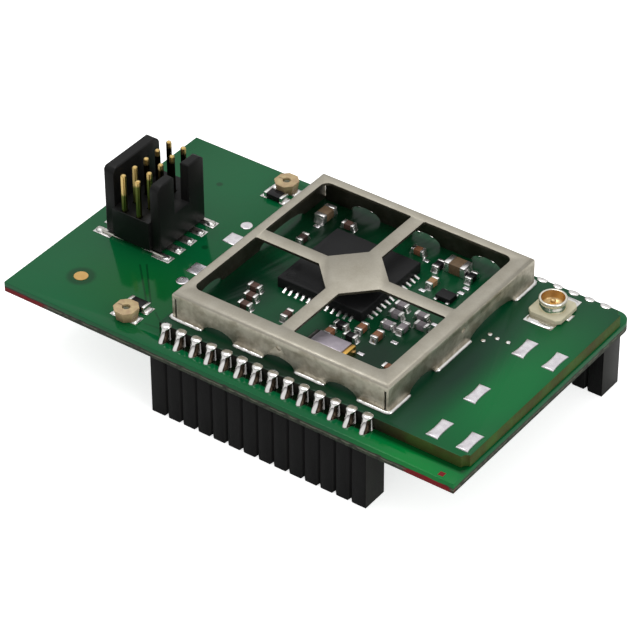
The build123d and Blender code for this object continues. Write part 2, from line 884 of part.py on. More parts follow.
def make_fiducial():
    with BuildPart() as disc:
        with BuildSketch(spot(fiducial_x, fiducial_y, deck_z)):
            RegularPolygon(fiducial_radius, 2 * round_sides)
        extrude(amount=fiducial_height)
    return disc


chip_parts = {
    "front_left_capacitors": front_left_capacitors,
    "back_left_capacitor": back_left_capacitor,
    "back_left_resistor": back_left_resistor,
    "back_left_small_capacitor": back_left_small_capacitor,
    "back_right_large_capacitor": back_right_large_capacitor,
    "back_right_capacitor": back_right_capacitor,
    "back_right_coil": back_right_coil,
    "back_right_resistors": back_right_resistors,
    "front_right_capacitors": front_right_capacitors,
    "front_right_resistors": front_right_resistors,
    "front_right_coil": front_right_coil,
    "matching_parts": matching_parts,
}
pieces = {
    "carrier_board": make_carrier_board(),
    "module_board": make_module_board(),
    "front_socket": make_socket(front_row_y, front_pin_count),
    "back_socket": make_socket(back_row_y, back_pin_count),
    "front_contacts": make_contacts(front_row_y, front_pin_count),
    "back_contacts": make_contacts(back_row_y, back_pin_count),
    "front_edge_joints": make_joints(front_row_y, front_pin_count, 0),
    "back_edge_joints": make_joints(back_row_y, back_pin_count, 180),
    "shield_frame": make_shield(),
    "shield_solder": make_shield_solder(),
    "header_shroud": make_header_shroud(),
    "header_pins": make_header_pins(),
    "header_pads": make_header_pads(),
    "front_light_body": make_light_body(front_light_y),
    "back_light_body": make_light_body(back_light_y),
    "front_light_lens": make_light_lens(front_light_y),
    "back_light_lens": make_light_lens(back_light_y),
    "light_pads": make_light_pads(),
    "front_light_resistor": make_resistor(front_resistor_y),
    "back_light_resistor": make_resistor(back_resistor_y),
    "front_resistor_ends": make_resistor_ends(front_resistor_y),
    "back_resistor_ends": make_resistor_ends(back_resistor_y),
    "coax_base": make_coax_base(),
    "coax_shell": make_coax_shell(),
    "coax_pin": make_coax_pin(),
    "coax_pads": make_coax_pads(),
    "radio_chip": make_chip(),
    "radio_chip_leads": make_chip_leads(),
    "crystal_can": make_crystal_can(),
    "crystal_ends": make_crystal_ends(),
    "chip_part_ends": make_chip_part_ends(),
    "small_chip": make_small_chip(),
    "small_chip_leads": make_small_chip_leads(),
    "bare_pads": make_bare_pads(),
    "antenna_pads": make_antenna_pads(),
    "solder_dots": make_solder_dots(),
    "carrier_pads": make_carrier_pads(),
    "fiducial": make_fiducial(),
}
for name, parts in chip_parts.items():
    pieces[name] = make_chip_bodies(parts)

os.makedirs("parts", exist_ok=True)
for name, piece in pieces.items():
    piece.part.label = name
    export_step(piece.part, "parts/" + name + ".step")
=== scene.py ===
"""Looks of the radio module: finishes, solder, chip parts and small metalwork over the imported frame."""
import math
import random
import bmesh
import bpy
from mathutils import Euler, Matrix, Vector


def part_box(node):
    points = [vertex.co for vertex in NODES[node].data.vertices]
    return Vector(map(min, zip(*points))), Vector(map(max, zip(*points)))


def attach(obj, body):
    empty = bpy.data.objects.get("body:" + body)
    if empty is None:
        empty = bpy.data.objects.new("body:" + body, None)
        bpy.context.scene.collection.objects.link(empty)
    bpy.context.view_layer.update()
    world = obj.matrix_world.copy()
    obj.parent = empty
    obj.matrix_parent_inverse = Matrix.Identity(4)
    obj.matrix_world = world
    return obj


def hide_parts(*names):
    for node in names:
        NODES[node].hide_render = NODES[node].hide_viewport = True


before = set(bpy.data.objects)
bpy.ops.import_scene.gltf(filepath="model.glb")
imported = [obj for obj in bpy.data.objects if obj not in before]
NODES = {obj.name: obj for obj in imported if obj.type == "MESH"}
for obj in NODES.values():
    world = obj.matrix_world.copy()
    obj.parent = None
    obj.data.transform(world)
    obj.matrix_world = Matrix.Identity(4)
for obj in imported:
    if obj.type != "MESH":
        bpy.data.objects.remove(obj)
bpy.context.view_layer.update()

MM = 0.001
PITCH = 1.27 * MM
# Two vertices nearer than this are one, and two faces that turn less than this are one flat face
SAME_PLACE = 1e-7
FLAT_ANGLE = math.radians(0.6)

# Camera, fitted to the photograph
CAMERA_PLACE = Vector((107.21, -147.31, 142.75)) * MM
CAMERA_TURN = (math.radians(52.746), math.radians(0.227), math.radians(35.793))
CAMERA_LENS = 188.0

# Main levels and edges, read from the frame
CARRIER_LOW, CARRIER_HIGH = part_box("carrier_board")
MODULE_LOW, MODULE_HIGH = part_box("module_board")
SHIELD_LOW, SHIELD_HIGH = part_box("shield_frame")
DECK = CARRIER_HIGH.z
MODULE_TOP = MODULE_HIGH.z


def on_carrier(x, y, z=DECK):
    """A place in millimetres from the carrier's front left corner, at a height in metres."""
    return Vector((CARRIER_LOW.x + x * MM, CARRIER_LOW.y + y * MM, z))


def middle_of(low, high):
    return (low + high) / 2


def centre_of(node):
    return middle_of(*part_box(node))


# Node building

def colour(red, green, blue):
    """A shader colour from an on-screen one of 0 to 255."""
    levels = [level / 255 for level in (red, green, blue)]
    linear = [level / 12.92 if level <= 0.04045 else ((level + 0.055) / 1.055) ** 2.4 for level in levels]
    return (*linear, 1.0)


class Signal:
    """An output of a node, which can be reckoned with like a number."""

    def __init__(self, nodes, socket):
        self.nodes = nodes
        self.socket = socket

    def maths(self, operation, *others):
        return self.nodes.maths(operation, self, *others)

    def __add__(self, other):
        return self.maths("ADD", other)

    def __sub__(self, other):
        return self.maths("SUBTRACT", other)

    def __rsub__(self, other):
        return self.nodes.maths("SUBTRACT", other, self)

    def __mul__(self, other):
        return self.maths("MULTIPLY", other)

    def __truediv__(self, other):
        return self.maths("DIVIDE", other)

    def __rtruediv__(self, other):
        return self.nodes.maths("DIVIDE", other, self)

    def __abs__(self):
        return self.maths("ABSOLUTE")

    def spread(self, low, high, new_low=0.0, new_high=1.0):
        """The value mapped from one range to another, held at its ends."""
        return self.nodes.add("ShaderNodeMapRange", {"Value": self, "From Min": low, "From Max": high,
                                                     "To Min": new_low, "To Max": new_high})


class Nodes:
    """A node tree in the making."""

    def __init__(self, tree):
        self.tree = tree

    def feed(self, socket, value):
        """Links a socket to a signal, or sets it to a value."""
        if isinstance(value, Signal):
            self.tree.links.new(value.socket, socket)
        else:
            socket.default_value = value

    def add(self, kind, inputs=None, out=0, **settings):
        """A node with its settings and inputs, as the signal of one of its outputs."""
        made = self.tree.nodes.new(kind)
        for key, value in settings.items():
            setattr(made, key, value)
        for key, value in (inputs or {}).items():
            self.feed(made.inputs[key], value)
        return Signal(self, made.outputs[out])

    def maths(self, operation, *values):
        return self.add("ShaderNodeMath", dict(enumerate(values)), operation=operation)

    def outputs_of(self, node):
        return {socket.name: Signal(self, socket) for socket in node.outputs}

    def use(self, group, inputs):
        """A group's outputs by name."""
        return self.outputs_of(self.add("ShaderNodeGroup", inputs, node_tree=group).socket.node)

    def place(self):
        return self.add("ShaderNodeTexCoord", out="Object")

    def axes(self, vector=None):
        """The X, Y and Z of a vector, or else of the place on the object."""
        split = self.add("ShaderNodeSeparateXYZ", {"Vector": vector or self.place()})
        return [Signal(self, socket) for socket in split.socket.node.outputs]

    def facing(self):
        return self.axes(self.add("ShaderNodeNewGeometry", out="Normal"))

    def vectors(self, operation, first, second=(0, 0, 0), out=0):
        return self.add("ShaderNodeVectorMath", {0: first, 1: second}, out, operation=operation)

    def noise(self, place, scale, detail, roughness=0.5):
        inputs = {"Vector": place, "Scale": scale, "Detail": detail, "Roughness": roughness}
        return self.add("ShaderNodeTexNoise", inputs, "Fac")

    def mix(self, share, first, second):
        """One colour laid over another. A tuple is an on-screen colour."""
        first, second = [colour(*tone) if isinstance(tone, tuple) else tone for tone in (first, second)]
        return self.add("ShaderNodeMix", {0: share, 6: first, 7: second}, 2, data_type="RGBA")

    def mottle(self, first, second, size, grain, contrast):
        """Two on-screen colours in soft patches, with their mask."""
        made = self.use(MOTTLE, {"First": colour(*first), "Second": colour(*second), "Patch size": size,
                                 "Grain": grain, "Contrast": contrast})
        return made["Colour"], made["Mask"]

    def soft_patch(self, surface, tone, centre, reach):
        """The surface with one tone laid in a soft oval patch."""
        shares = self.vectors("DIVIDE", self.vectors("SUBTRACT", self.place(), centre), reach)
        return self.mix(self.vectors("LENGTH", shares, out="Value").spread(1.0, 0.2), surface, tone)

    def soft_box(self, low, high, soft):
        """A mask that is 1 in an upright box and fades at its sides, over a width in millimetres."""
        x, y, _ = self.axes()
        soft *= MM
        across = x.spread(low.x - soft, low.x + soft) * x.spread(high.x + soft, high.x - soft)
        return across * y.spread(low.y - soft, low.y + soft) * y.spread(high.y + soft, high.y - soft)


GREY = (0.5, 0.5, 0.5, 1.0)


def start_group(name, inputs):
    """A shader node group with its named inputs, as its nodes and the inputs' signals."""
    tree = bpy.data.node_groups.new(name, "ShaderNodeTree")
    kinds = {1: "NodeSocketFloat", 3: "NodeSocketVector", 4: "NodeSocketColor"}
    for label, value in inputs.items():
        kind = kinds[len(value) if isinstance(value, tuple) else 1]
        tree.interface.new_socket(label, in_out="INPUT", socket_type=kind).default_value = value
    nodes = Nodes(tree)
    return nodes, nodes.outputs_of(tree.nodes.new("NodeGroupInput"))


def end_group(nodes, results):
    """The finished group, with its named outputs."""
    for label, signal in results.items():
        kind = "NodeSocketColor" if signal.socket.type == "RGBA" else "NodeSocketFloat"
        nodes.tree.interface.new_socket(label, in_out="OUTPUT", socket_type=kind)
    end = nodes.tree.nodes.new("NodeGroupOutput")
    for label, signal in results.items():
        nodes.feed(end.inputs[label], signal)
    return nodes.tree


def make_mottle_group():
    """Two colours that drift into each other in soft patches, with a finer grain over them."""
    nodes, given = start_group("Mottle", {"First": GREY, "Second": GREY, "Patch size": 1.0, "Grain": 0.2,
                                          "Contrast": 0.5})
    place = nodes.place()
    scale = 1000.0 / given["Patch size"]
    patches = nodes.noise(place, scale, 3.0, 0.55).spread(0.3, 0.7)
    grain = nodes.noise(place, scale * 9.0, 2.0) - 0.5
    mask = patches * given["Contrast"] + grain * given["Grain"]
    return end_group(nodes, {"Colour": nodes.mix(mask, given["First"], given["Second"]), "Mask": mask})


def make_bump_group():
    """Fine surface unevenness as a height, with broad waves and a close grain."""
    nodes, given = start_group("Uneven surface", {"Wave size": 1.0, "Wave": 0.5, "Grain size": 0.1,
                                                  "Grain": 0.5})
    place = nodes.place()
    wave = nodes.noise(place, 1000.0 / given["Wave size"], 1.0)
    grain = nodes.noise(place, 1000.0 / given["Grain size"], 2.0)
    return end_group(nodes, {"Height": wave * given["Wave"] + grain * given["Grain"]})


def make_section_group():
    """A laminate's cut edge: where it shows, below the mask that runs over it, and its fibres' colour."""
    nodes, given = start_group("Board section", {"Resin": GREY, "Fibre": GREY, "Pale": GREY, "Bottom": 0.0,
                                                 "Thickness": 0.8 * MM, "Masked above": 2.0})
    upright = abs(nodes.facing()[2]).spread(0.75, 0.45)
    place = nodes.place()
    share = (nodes.axes(place)[2] - given["Bottom"]) / given["Thickness"]
    ripple = nodes.noise(place, 1500.0, 3.0)
    past = share + (ripple - 0.5) * 0.3 - given["Masked above"]
    woven = nodes.mix(nodes.noise(place, 3200.0, 3.0).spread(0.36, 0.66), given["Resin"], given["Fibre"])
    line = abs(past + 0.2).spread(0.09, 0.03) * ripple.spread(0.4, 0.55)
    rim = abs(past + 0.04).spread(0.07, 0.02) * 0.7
    tone = nodes.mix(rim, nodes.mix(line, woven, given["Pale"]), given["Resin"])
    return end_group(nodes, {"Mask": upright * past.spread(0.03, -0.03), "Colour": tone})


def make_mark_group():
    """A mark inside a box of the object, broken up by noise."""
    nodes, given = start_group("Broken mark", {"Centre": (0, 0, 0), "Reach": (1, 1, 1), "Break up": 0.5})
    place = nodes.place()
    shares = nodes.vectors("DIVIDE", nodes.vectors("SUBTRACT", place, given["Centre"]), given["Reach"])
    x, y, z = [abs(share) for share in nodes.axes(shares)]
    patch_size = 0.6
    ragged = (nodes.noise(place, 1000.0 / patch_size, 2.0) - 0.45) * (given["Break up"] * 6.0)
    reach = x.maths("MAXIMUM", y).maths("MAXIMUM", z) + ragged
    return end_group(nodes, {"Mask": reach.spread(1.0, 0.85)})


def make_distance_group():
    """How far a place is, seen from above, from a straight line between two ends."""
    nodes, given = start_group("Distance to a line", {"Start": (0, 0, 0), "End": (1, 0, 0)})

    def level(first, second):
        return nodes.vectors("MULTIPLY", nodes.vectors("SUBTRACT", first, second), (1, 1, 0))

    away = level(nodes.place(), given["Start"])
    along = level(given["End"], given["Start"])
    ahead = nodes.vectors("DOT_PRODUCT", away, along, "Value")
    whole = nodes.vectors("DOT_PRODUCT", along, along, "Value")
    share = (ahead / (whole + 1e-12)).spread(0.0, 1.0)
    near = nodes.add("ShaderNodeVectorMath", {0: along, "Scale": share}, operation="SCALE")
    gap = nodes.vectors("SUBTRACT", away, near)
    return end_group(nodes, {"Distance": nodes.vectors("LENGTH", gap, out="Value")})


MOTTLE = make_mottle_group()
UNEVEN = make_bump_group()
SECTION = make_section_group()
MARK = make_mark_group()
DISTANCE = make_distance_group()


# Materials

class Look(Nodes):
    """A material in the making, with its Principled shader."""

    def __init__(self, name, roughness=0.5, metallic=0.0, specular=0.5):
        self.material = bpy.data.materials.new(name)
        self.material.use_nodes = True
        super().__init__(self.material.node_tree)
        self.set("Roughness", roughness)
        self.set("Metallic", metallic)
        self.set("Specular IOR Level", specular)

    def set(self, label, value):
        self.feed(self.tree.nodes["Principled BSDF"].inputs[label], value)

    def roughen(self, depth, wave_size, wave, grain_size, grain):
        """The material with waves and a grain in its surface. Depth and sizes are in millimetres."""
        made = self.use(UNEVEN, {"Wave size": wave_size, "Wave": wave, "Grain size": grain_size,
                                 "Grain": grain})
        self.set("Normal", self.add("ShaderNodeBump", {"Height": made["Height"], "Distance": depth * MM}))
        return self.material


def make_board_material(name, board, mask_tones, section_tones, masked_above=2.0, glow=(), lines=(),
                        marks=(), painted_shade_boxes=(), gloss=0.1, olive=None):
    """Solder mask over copper on a board's faces, and bare laminate on its cut edges. Soft patches of painted
    light and painted shade, and soft boxes of painted shade, are laid over the mask.
    """
    look = Look(name, specular=0.22)
    first, second, copper = mask_tones
    mask = look.mottle(first, second, 6.0, 0.1, 0.8)[0]
    # Soft patches of painted light and painted shade over the mask
    for tone, centre, reach in glow:
        mask = look.soft_patch(mask, tone, centre, reach)
    for start, end, outer, inner, strength in lines:
        away = look.use(DISTANCE, {"Start": start, "End": end})["Distance"]
        mask = look.mix(away.spread(outer * MM, inner * MM) * strength, mask, copper)
    low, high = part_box(board)
    resin, fibre, pale = [colour(*tone) for tone in section_tones]
    section = look.use(SECTION, {"Resin": resin, "Fibre": fibre, "Pale": pale, "Bottom": low.z,
                                 "Thickness": high.z - low.z, "Masked above": masked_above})
    edge = section["Colour"]
    if olive is not None:
        first, second, start, end = olive
        edge = look.mix(look.axes()[0].spread(start, end), edge, look.mottle(first, second, 2.2, 0.3, 1.0)[0])
    # Painted shade: soft boxes that darken the mask where shade and dark reflections fall
    for tone, low, high, soft, strength in painted_shade_boxes:
        mask = look.mix(look.soft_box(low, high, soft) * strength, mask, tone)
    surface = look.mix(section["Mask"], mask, edge)
    for centre, reach, ragged in marks:
        ink = look.use(MARK, {"Centre": centre, "Reach": reach, "Break up": ragged})["Mask"]
        surface = look.mix(ink, surface, (118, 18, 22))
    look.set("Base Color", surface)
    look.set("Roughness", section["Mask"].spread(0.0, 1.0, gloss, 0.7))
    return look.roughen(0.004, 1.6, 1.0, 0.12, 0.15)


def metal(name, first, second, roughness, patch=0.5, uneven=0.004, wave=0.8, grain=0.3):
    """Bare or plated metal with soft changes of tone and of gloss."""
    look = Look(name, roughness, 1.0)
    tone, mask = look.mottle(first, second, patch, 0.3, 0.7)
    look.set("Base Color", tone)
    look.set("Roughness", mask.spread(0.0, 1.0, roughness * 0.75, roughness * 1.35))
    return look.roughen(uneven, wave, 1.0, 0.06, grain)


def moulded(name, first, second, roughness, uneven=0.006, patch=0.3):
    """Moulded plastic or ceramic with a fine matt grain."""
    look = Look(name, roughness, specular=0.2)
    look.set("Base Color", look.mottle(first, second, patch, 0.35, 0.6)[0])
    return look.roughen(uneven, 0.9, 0.4, 0.07, 0.8)


def mottled(name, first, second, patch, grain, contrast, roughness, metallic=0.0, coat=0.0):
    """A smooth surface that is only mottled."""
    look = Look(name, roughness, metallic)
    look.set("Base Color", look.mottle(first, second, patch, grain, contrast)[0])
    look.set("Coat Weight", coat)
    return look.material


def make_shield_material():
    """Dull tinned sheet: warm grey and finely mottled, with painted light that makes its walls lighter than
    its top, painted shade in blots towards its feet, and painted shade inside its walls.
    """
    look = Look("Tinned sheet", 0.5, 1.0)
    sheet, mask = look.mottle((184, 179, 166), (168, 162, 148), 1.1, 0.7, 0.7)
    place = look.place()
    x, y, z = look.axes(place)
    wall = abs(look.facing()[2]).spread(0.6, 0.3)
    blots = look.noise(place, 620.0, 3.0, 0.6).spread(0.42, 0.62)
    # Painted light makes the walls lighter than the top, and painted shade darkens them in blots towards the
    # feet
    foot_shade = z.spread(MODULE_TOP + 1.5 * MM, MODULE_TOP) * blots
    surface = look.mix(foot_shade, look.mix(wall, sheet, (212, 206, 190)), (122, 112, 88))
    clouds = wall * look.noise(place, 1100.0, 3.0, 0.6).spread(0.44, 0.62)
    surface = look.mix(clouds * 0.55, surface, (156, 146, 124))
    # Painted shade on the faces inward of the outer walls
    inner = 0.1 * MM
    inside_shade = wall
    for axis, low, high in ((x, SHIELD_LOW.x, SHIELD_HIGH.x), (y, SHIELD_LOW.y, SHIELD_HIGH.y)):
        inside_shade = inside_shade * axis.spread(low + inner, low + inner * 1.2)
        inside_shade = inside_shade * axis.spread(high - inner, high - inner * 1.2)
    look.set("Base Color", look.mix(inside_shade * 0.8, surface, (66, 62, 50)))
    look.set("Roughness", mask.spread(0.0, 1.0, 0.46, 0.6))
    return look.roughen(0.02, 1.4, 1.0, 0.09, 0.35)


def make_joint_material():
    """Bright solder, with a painted dark reflection, streaked, in its hollow, and a painted highlight on the
    rim beside it, made rough and less metallic, where the mesh's attribute says.
    """
    look = Look("Joint solder", 0.14, 1.0)
    tone = look.mottle((244, 242, 240), (222, 219, 216), 0.6, 0.2, 0.6)[0]
    streaks = look.noise(look.vectors("MULTIPLY", look.place(), (1.0, 1.0, 0.15)), 5200.0, 2.0)
    # Painted dark reflection, streaked, where the attribute is 1
    hollow = look.mix(streaks.spread(0.38, 0.64), (22, 18, 12), (64, 54, 44))
    marked = look.add("ShaderNodeAttribute", out="Fac", attribute_name="Tarnish")
    dark = marked.spread(0.35, 0.75)
    # Painted highlight where the attribute is -1: the white solder made rough and less metallic
    painted_highlight = marked.spread(-0.3, -0.7)
    look.set("Base Color", look.mix(dark, tone, hollow))
    matt = painted_highlight.spread(0.0, 1.0, 0.14, 0.6)
    look.set("Roughness", dark.spread(0.0, 1.0, 0.14, 0.3).maths("MAXIMUM", matt))
    look.set("Metallic", painted_highlight.spread(0.0, 1.0, 1.0, 0.15))
    return look.roughen(0.002, 0.7, 1.0, 0.06, 0.02)


def make_cup_material():
    """Cream moulding, yellowed in patches, with painted shade that darkens it towards the board, and a line of
    painted shade for the nick beside each well.
    """
    look = Look("Cream moulding", 0.45, specular=0.3)
    tone = look.mottle((198, 178, 134), (170, 142, 112), 0.45, 0.4, 0.9)[0]
    low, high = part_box("front_light_body")
    # Painted shade, darker towards the board
    foot = look.axes()[2].spread(low.z + (high.z - low.z) * 0.7, low.z)
    tone = look.mix(foot * 0.75, tone, (92, 76, 50))
    # Painted shade along the nick beside each well
    for node in ("front_light_body", "back_light_body"):
        nick = centre_of(node) - Vector((0.41, 0.03, 0)) * MM
        reach = Vector((0.25, 0.045, 0)) * MM
        tone = look.mix(look.soft_box(nick - reach, nick + reach, 0.03) * 0.7, tone, (90, 72, 48))
    look.set("Base Color", tone)
    return look.roughen(0.004, 0.5, 0.6, 0.05, 0.1)


def make_socket_material(name, node, ways):
    """Black moulding with painted light on its faces towards +X, and painted shade in the grooves between its
    ways and under the board.
    """
    look = Look(name, 0.42, specular=0.12)
    x, _, z = look.axes()
    facing = look.facing()[0]
    tone = look.mottle((17, 17, 17), (12, 12, 12), 1.5, 0.35, 0.6)[0]
    # Painted light: faces towards +X lighter
    tone = look.mix(facing.spread(0.6, 0.9), tone, (48, 48, 46))
    share = (x - (centre_of(node).x - ways * PITCH / 2)) / PITCH
    # Painted shade in the grooves between the ways
    groove_shade = abs(share.maths("WRAP", 0.5, -0.5)).spread(0.1, 0.05) * facing.spread(0.9, 0.8)
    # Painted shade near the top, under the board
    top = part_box(node)[1].z
    shade = z.spread(top - 0.3 * MM, top - 0.1 * MM)
    look.set("Base Color", look.mix(groove_shade.maths("MAXIMUM", shade), tone, (4, 4, 4)))
    return look.roughen(0.008, 0.9, 0.4, 0.07, 0.8)


def make_crystal_end_material():
    """The crystal's ends: dark grey metal on the left one, gold on the right one."""
    look = Look("Crystal ends", 0.28, 1.0)
    middle = centre_of("crystal_ends").x
    right = look.axes()[0].spread(middle - 0.1 * MM, middle + 0.1 * MM)
    tone = look.mottle((96, 94, 90), (60, 60, 58), 0.3, 0.4, 0.8)[0]
    look.set("Base Color", look.mix(right, tone, (222, 176, 92)))
    return look.material


def make_pin_material():
    """Gold flash on a pin: bright gold towards its tip, and towards the moulding, below an uneven line, a
    painted shadow of the shroud, lighter on the two nearest pins of each row and with its edge lower on those
    of the left row. Near the board the pin is pale.
    """
    look = Look("Pin plating", 0.28, 1.0)
    place = look.place()
    x, y, z = look.axes(place)
    middle = centre_of("header_pins")
    edge = 0.1 * MM
    front = middle.y - 0.5 * PITCH
    left = x.spread(middle.x + edge, middle.x - edge)
    near = y.spread(front + edge, front - edge)
    # The edge of the painted shadow, lowered on the two nearest pins of the left row and made uneven
    line = z + left * near * (1.15 * MM) + (look.noise(place, 700.0, 2.0) - 0.5) * (0.5 * MM)
    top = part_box("header_pins")[1].z
    # Painted shadow: lighter on the two nearest pins of each row
    painted_shadow = look.mix(near, (52, 42, 24), (118, 124, 62))
    plated = look.mix(line.spread(top - 0.55 * MM, top - 0.35 * MM), painted_shadow, (240, 208, 138))
    look.set("Base Color", look.mix(z.spread(DECK + 0.6 * MM, DECK + 0.3 * MM), plated, (205, 203, 196)))
    return look.material


def trace(start, end, outer, strength):
    """A line of copper that shows through the mask, and fades from a core to its outer edge."""
    core = 0.45
    return on_carrier(*start), on_carrier(*end), outer, outer * core, strength


def spot(centre, inner, outer):
    """A round spot of the same tone, as a line of no length."""
    strength = 0.75
    return centre, centre, outer, inner, strength


CARRIER_MASK = make_board_material(
    "Carrier mask", "carrier_board", ((0, 92, 50), (8, 86, 46), (4, 56, 28)),
    ((40, 44, 36), (66, 70, 58), (98, 102, 86)), 0.56,
    # Soft patches of painted light on the carrier: a bright one at its front right end and a second one on its
    # left part
    glow=[((4, 122, 52), on_carrier(34.0, 0.2), (0.0065, 0.0032, 0.02)),
          ((10, 88, 40), on_carrier(8.5, 5.0), (0.007, 0.005, 0.02))],
    lines=[trace((6.4, 6.95), (9.3, 3.95), 0.09, 0.8), trace((6.75, 7.25), (9.7, 3.95), 0.09, 0.8),
           trace((10.6, 3.3), (12.2, 2.2), 0.08, 0.6), trace((10.8, 1.9), (12.8, 2.1), 0.08, 0.5),
           spot(centre_of("fiducial"), 0.85, 1.15), spot(on_carrier(8.8, 11.2), 0.18, 0.3),
           spot(on_carrier(5.0, 17.9), 0.18, 0.3)],
    marks=[(on_carrier(1.6, 0.0, CARRIER_LOW.z + 0.14 * MM), (0.0022, 0.0003, 0.00024), 0.12),
           (on_carrier(35.2, 0.0, CARRIER_LOW.z + 0.16 * MM), (0.0021, 0.0003, 0.00028), 0.12),
           (on_carrier(36.0, 0.44), (0.00022, 0.00022, 0.0001), 0.04)],
    # Painted shade and painted dark reflection: a near-black strip in front of the module's edge along its
    # joints, and a dark green band in front of its right end
    painted_shade_boxes=[((12, 12, 6), on_carrier(12.95, 1.04), on_carrier(29.85, 2.4), 0.07, 0.94),
            ((2, 40, 12), on_carrier(29.8, 1.2), on_carrier(37.1, 2.4), 0.16, 0.8)])
# Soft patches on the module, each a tone, its place and its reach in millimetres. The bright one at the right
# end is partly the paler mask where no copper lies under it and partly painted light. The dark ones are
# painted shade near and under the shield.
MODULE_PAINTED_LIGHT_AND_SHADE = [((0, 104, 50), 35.6, 9.0, 4.5, 12.0), ((2, 46, 28), 31.4, 9.0, 2.6, 9.0),
               ((0, 34, 16), 21.0, 2.0, 11.0, 1.6), ((0, 30, 14), 16.0, 17.5, 5.5, 6.0),
               ((0, 34, 18), 14.5, 8.0, 3.0, 4.5), ((0, 40, 20), 26.0, 7.0, 4.0, 5.0)]
MODULE_MASK = make_board_material(
    "Module mask", "module_board", ((0, 70, 38), (2, 62, 34), (2, 42, 24)),
    ((12, 12, 8), (26, 24, 14), (60, 58, 30)),
    glow=[(tone, on_carrier(x, y, MODULE_TOP), (reach_x * MM, reach_y * MM, 0.02))
          for tone, x, y, reach_x, reach_y in MODULE_PAINTED_LIGHT_AND_SHADE],
    gloss=0.28, olive=((62, 92, 34), (66, 56, 26), on_carrier(29.5, 0).x, on_carrier(33.5, 0).x))
SHIELD_SHEET = make_shield_material()
JOINT_SOLDER = make_joint_material()
PIN_PLATE = make_pin_material()
CREAM_MOULDING = make_cup_material()
CRYSTAL_ENDS = make_crystal_end_material()
FRONT_SOCKET = make_socket_material("Front socket moulding", "front_socket", 14)
BACK_SOCKET = make_socket_material("Back socket moulding", "back_socket", 19)
SATIN_SOLDER = metal("Satin solder", (248, 246, 244), (222, 218, 216), 0.32, wave=0.5, grain=0.1)
SOLDER = metal("Solder", (244, 242, 240), (224, 221, 218), 0.12, 0.6, 0.002, 0.7, 0.02)
TINNED_PAD = metal("Tinned pad", (250, 247, 250), (206, 198, 206), 0.3, 0.5, 0.02, 0.5, 0.2)
GOLD_PLATE = metal("Gold plate", (220, 190, 140), (196, 164, 114), 0.34)
SILVER_RIM = metal("Silver rim", (246, 242, 230), (226, 220, 204), 0.16, 0.6, 0.002)
CRYSTAL_METAL = metal("Crystal can", (176, 168, 176), (150, 142, 152), 0.4, 0.5, 0.008)
BLACK_MOULDING = moulded("Black moulding", (20, 20, 20), (14, 14, 14), 0.42, 0.008, 1.5)
CHIP_MOULDING = moulded("Chip moulding", (28, 28, 29), (22, 22, 23), 0.5, 0.006, 1.5)
IVORY_MOULDING = moulded("Ivory moulding", (202, 196, 170), (180, 172, 144), 0.45, 0.006, 0.8)
DARK_CERAMIC = moulded("Dark brown ceramic", (66, 50, 46), (48, 36, 34), 0.4, 0.005)
DULL_TAN = moulded("Dull tan ceramic", (112, 92, 70), (90, 74, 56), 0.45)
BLACK_GLAZE = moulded("Black glaze", (26, 25, 27), (36, 34, 36), 0.25, 0.003, 0.4)
GREY_CERAMIC = moulded("Grey ceramic", (92, 68, 60), (68, 50, 44), 0.45)
TAN_CERAMIC = moulded("Tan ceramic", (168, 132, 96), (142, 106, 74), 0.45)
BROWN_CERAMIC = moulded("Brown ceramic", (140, 96, 70), (112, 72, 52), 0.45)
SILVER_PARTS = moulded("Silvery ceramic", (150, 142, 146), (120, 112, 118), 0.35)
CLEAR_DROP = mottled("Clear drop", (92, 84, 44), (62, 66, 40), 0.3, 0.3, 0.9, 0.12, coat=0.6)
GOLD_DISC = mottled("Alignment disc", (226, 186, 118), (206, 160, 92), 0.4, 0.4, 0.6, 0.3, 0.9)


# Meshes

def merged(node, flat=False):
    """A CAD node's mesh in work, with its seams closed and, if asked, its flat faces joined up."""
    work = bmesh.new()
    work.from_mesh(NODES[node].data)
    bmesh.ops.remove_doubles(work, verts=work.verts, dist=SAME_PLACE)
    if flat:
        bmesh.ops.dissolve_limit(work, angle_limit=FLAT_ANGLE, verts=work.verts, edges=work.edges)
    return work


def islands(node):
    """The low and high corners of each solid of a CAD node."""
    work = merged(node)
    found = []
    seen = set()
    for first in work.verts:
        if first in seen:
            continue
        seen.add(first)
        reached = [first]
        for vert in reached:
            for edge in vert.link_edges:
                other = edge.other_vert(vert)
                if other not in seen:
                    seen.add(other)
                    reached.append(other)
        found.append([Vector([pick(vert.co[axis] for vert in reached) for axis in range(3)])
                      for pick in (min, max)])
    work.free()
    return sorted(found, key=lambda box: (round(box[0].x, 6), round(box[0].y, 6)))


def linked(name, data):
    """An object in the scene."""
    made = bpy.data.objects.new(name, data)
    bpy.context.scene.collection.objects.link(made)
    return made


def to_mesh(work, face_out=True):
    """The plain mesh of one in work, with its faces turned outwards if asked."""
    if face_out:
        bmesh.ops.recalc_face_normals(work, faces=work.faces)
    work.normal_update()
    mesh = bpy.data.meshes.new("mesh")
    work.to_mesh(mesh)
    work.free()
    return mesh


def evaluated(piece):
    """The plain mesh that an object's modifiers give. The object itself is taken away."""
    bpy.context.view_layer.update()
    depsgraph = bpy.context.evaluated_depsgraph_get()
    mesh = bpy.data.meshes.new_from_object(piece.evaluated_get(depsgraph), depsgraph=depsgraph)
    bpy.data.objects.remove(piece)
    return mesh


def finish(node, mesh, material, sharp=38):
    """A mesh as the finish of a CAD node, at the origin, smooth between sharp edges, riding on the frame."""
    piece = linked(node + "_finish", mesh)
    mesh.name = piece.name
    for face in mesh.polygons:
        face.use_smooth = True
    mesh.set_sharp_from_angle(angle=math.radians(sharp))
    mesh.materials.clear()
    mesh.materials.append(material)
    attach(piece, "root")
    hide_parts(node)


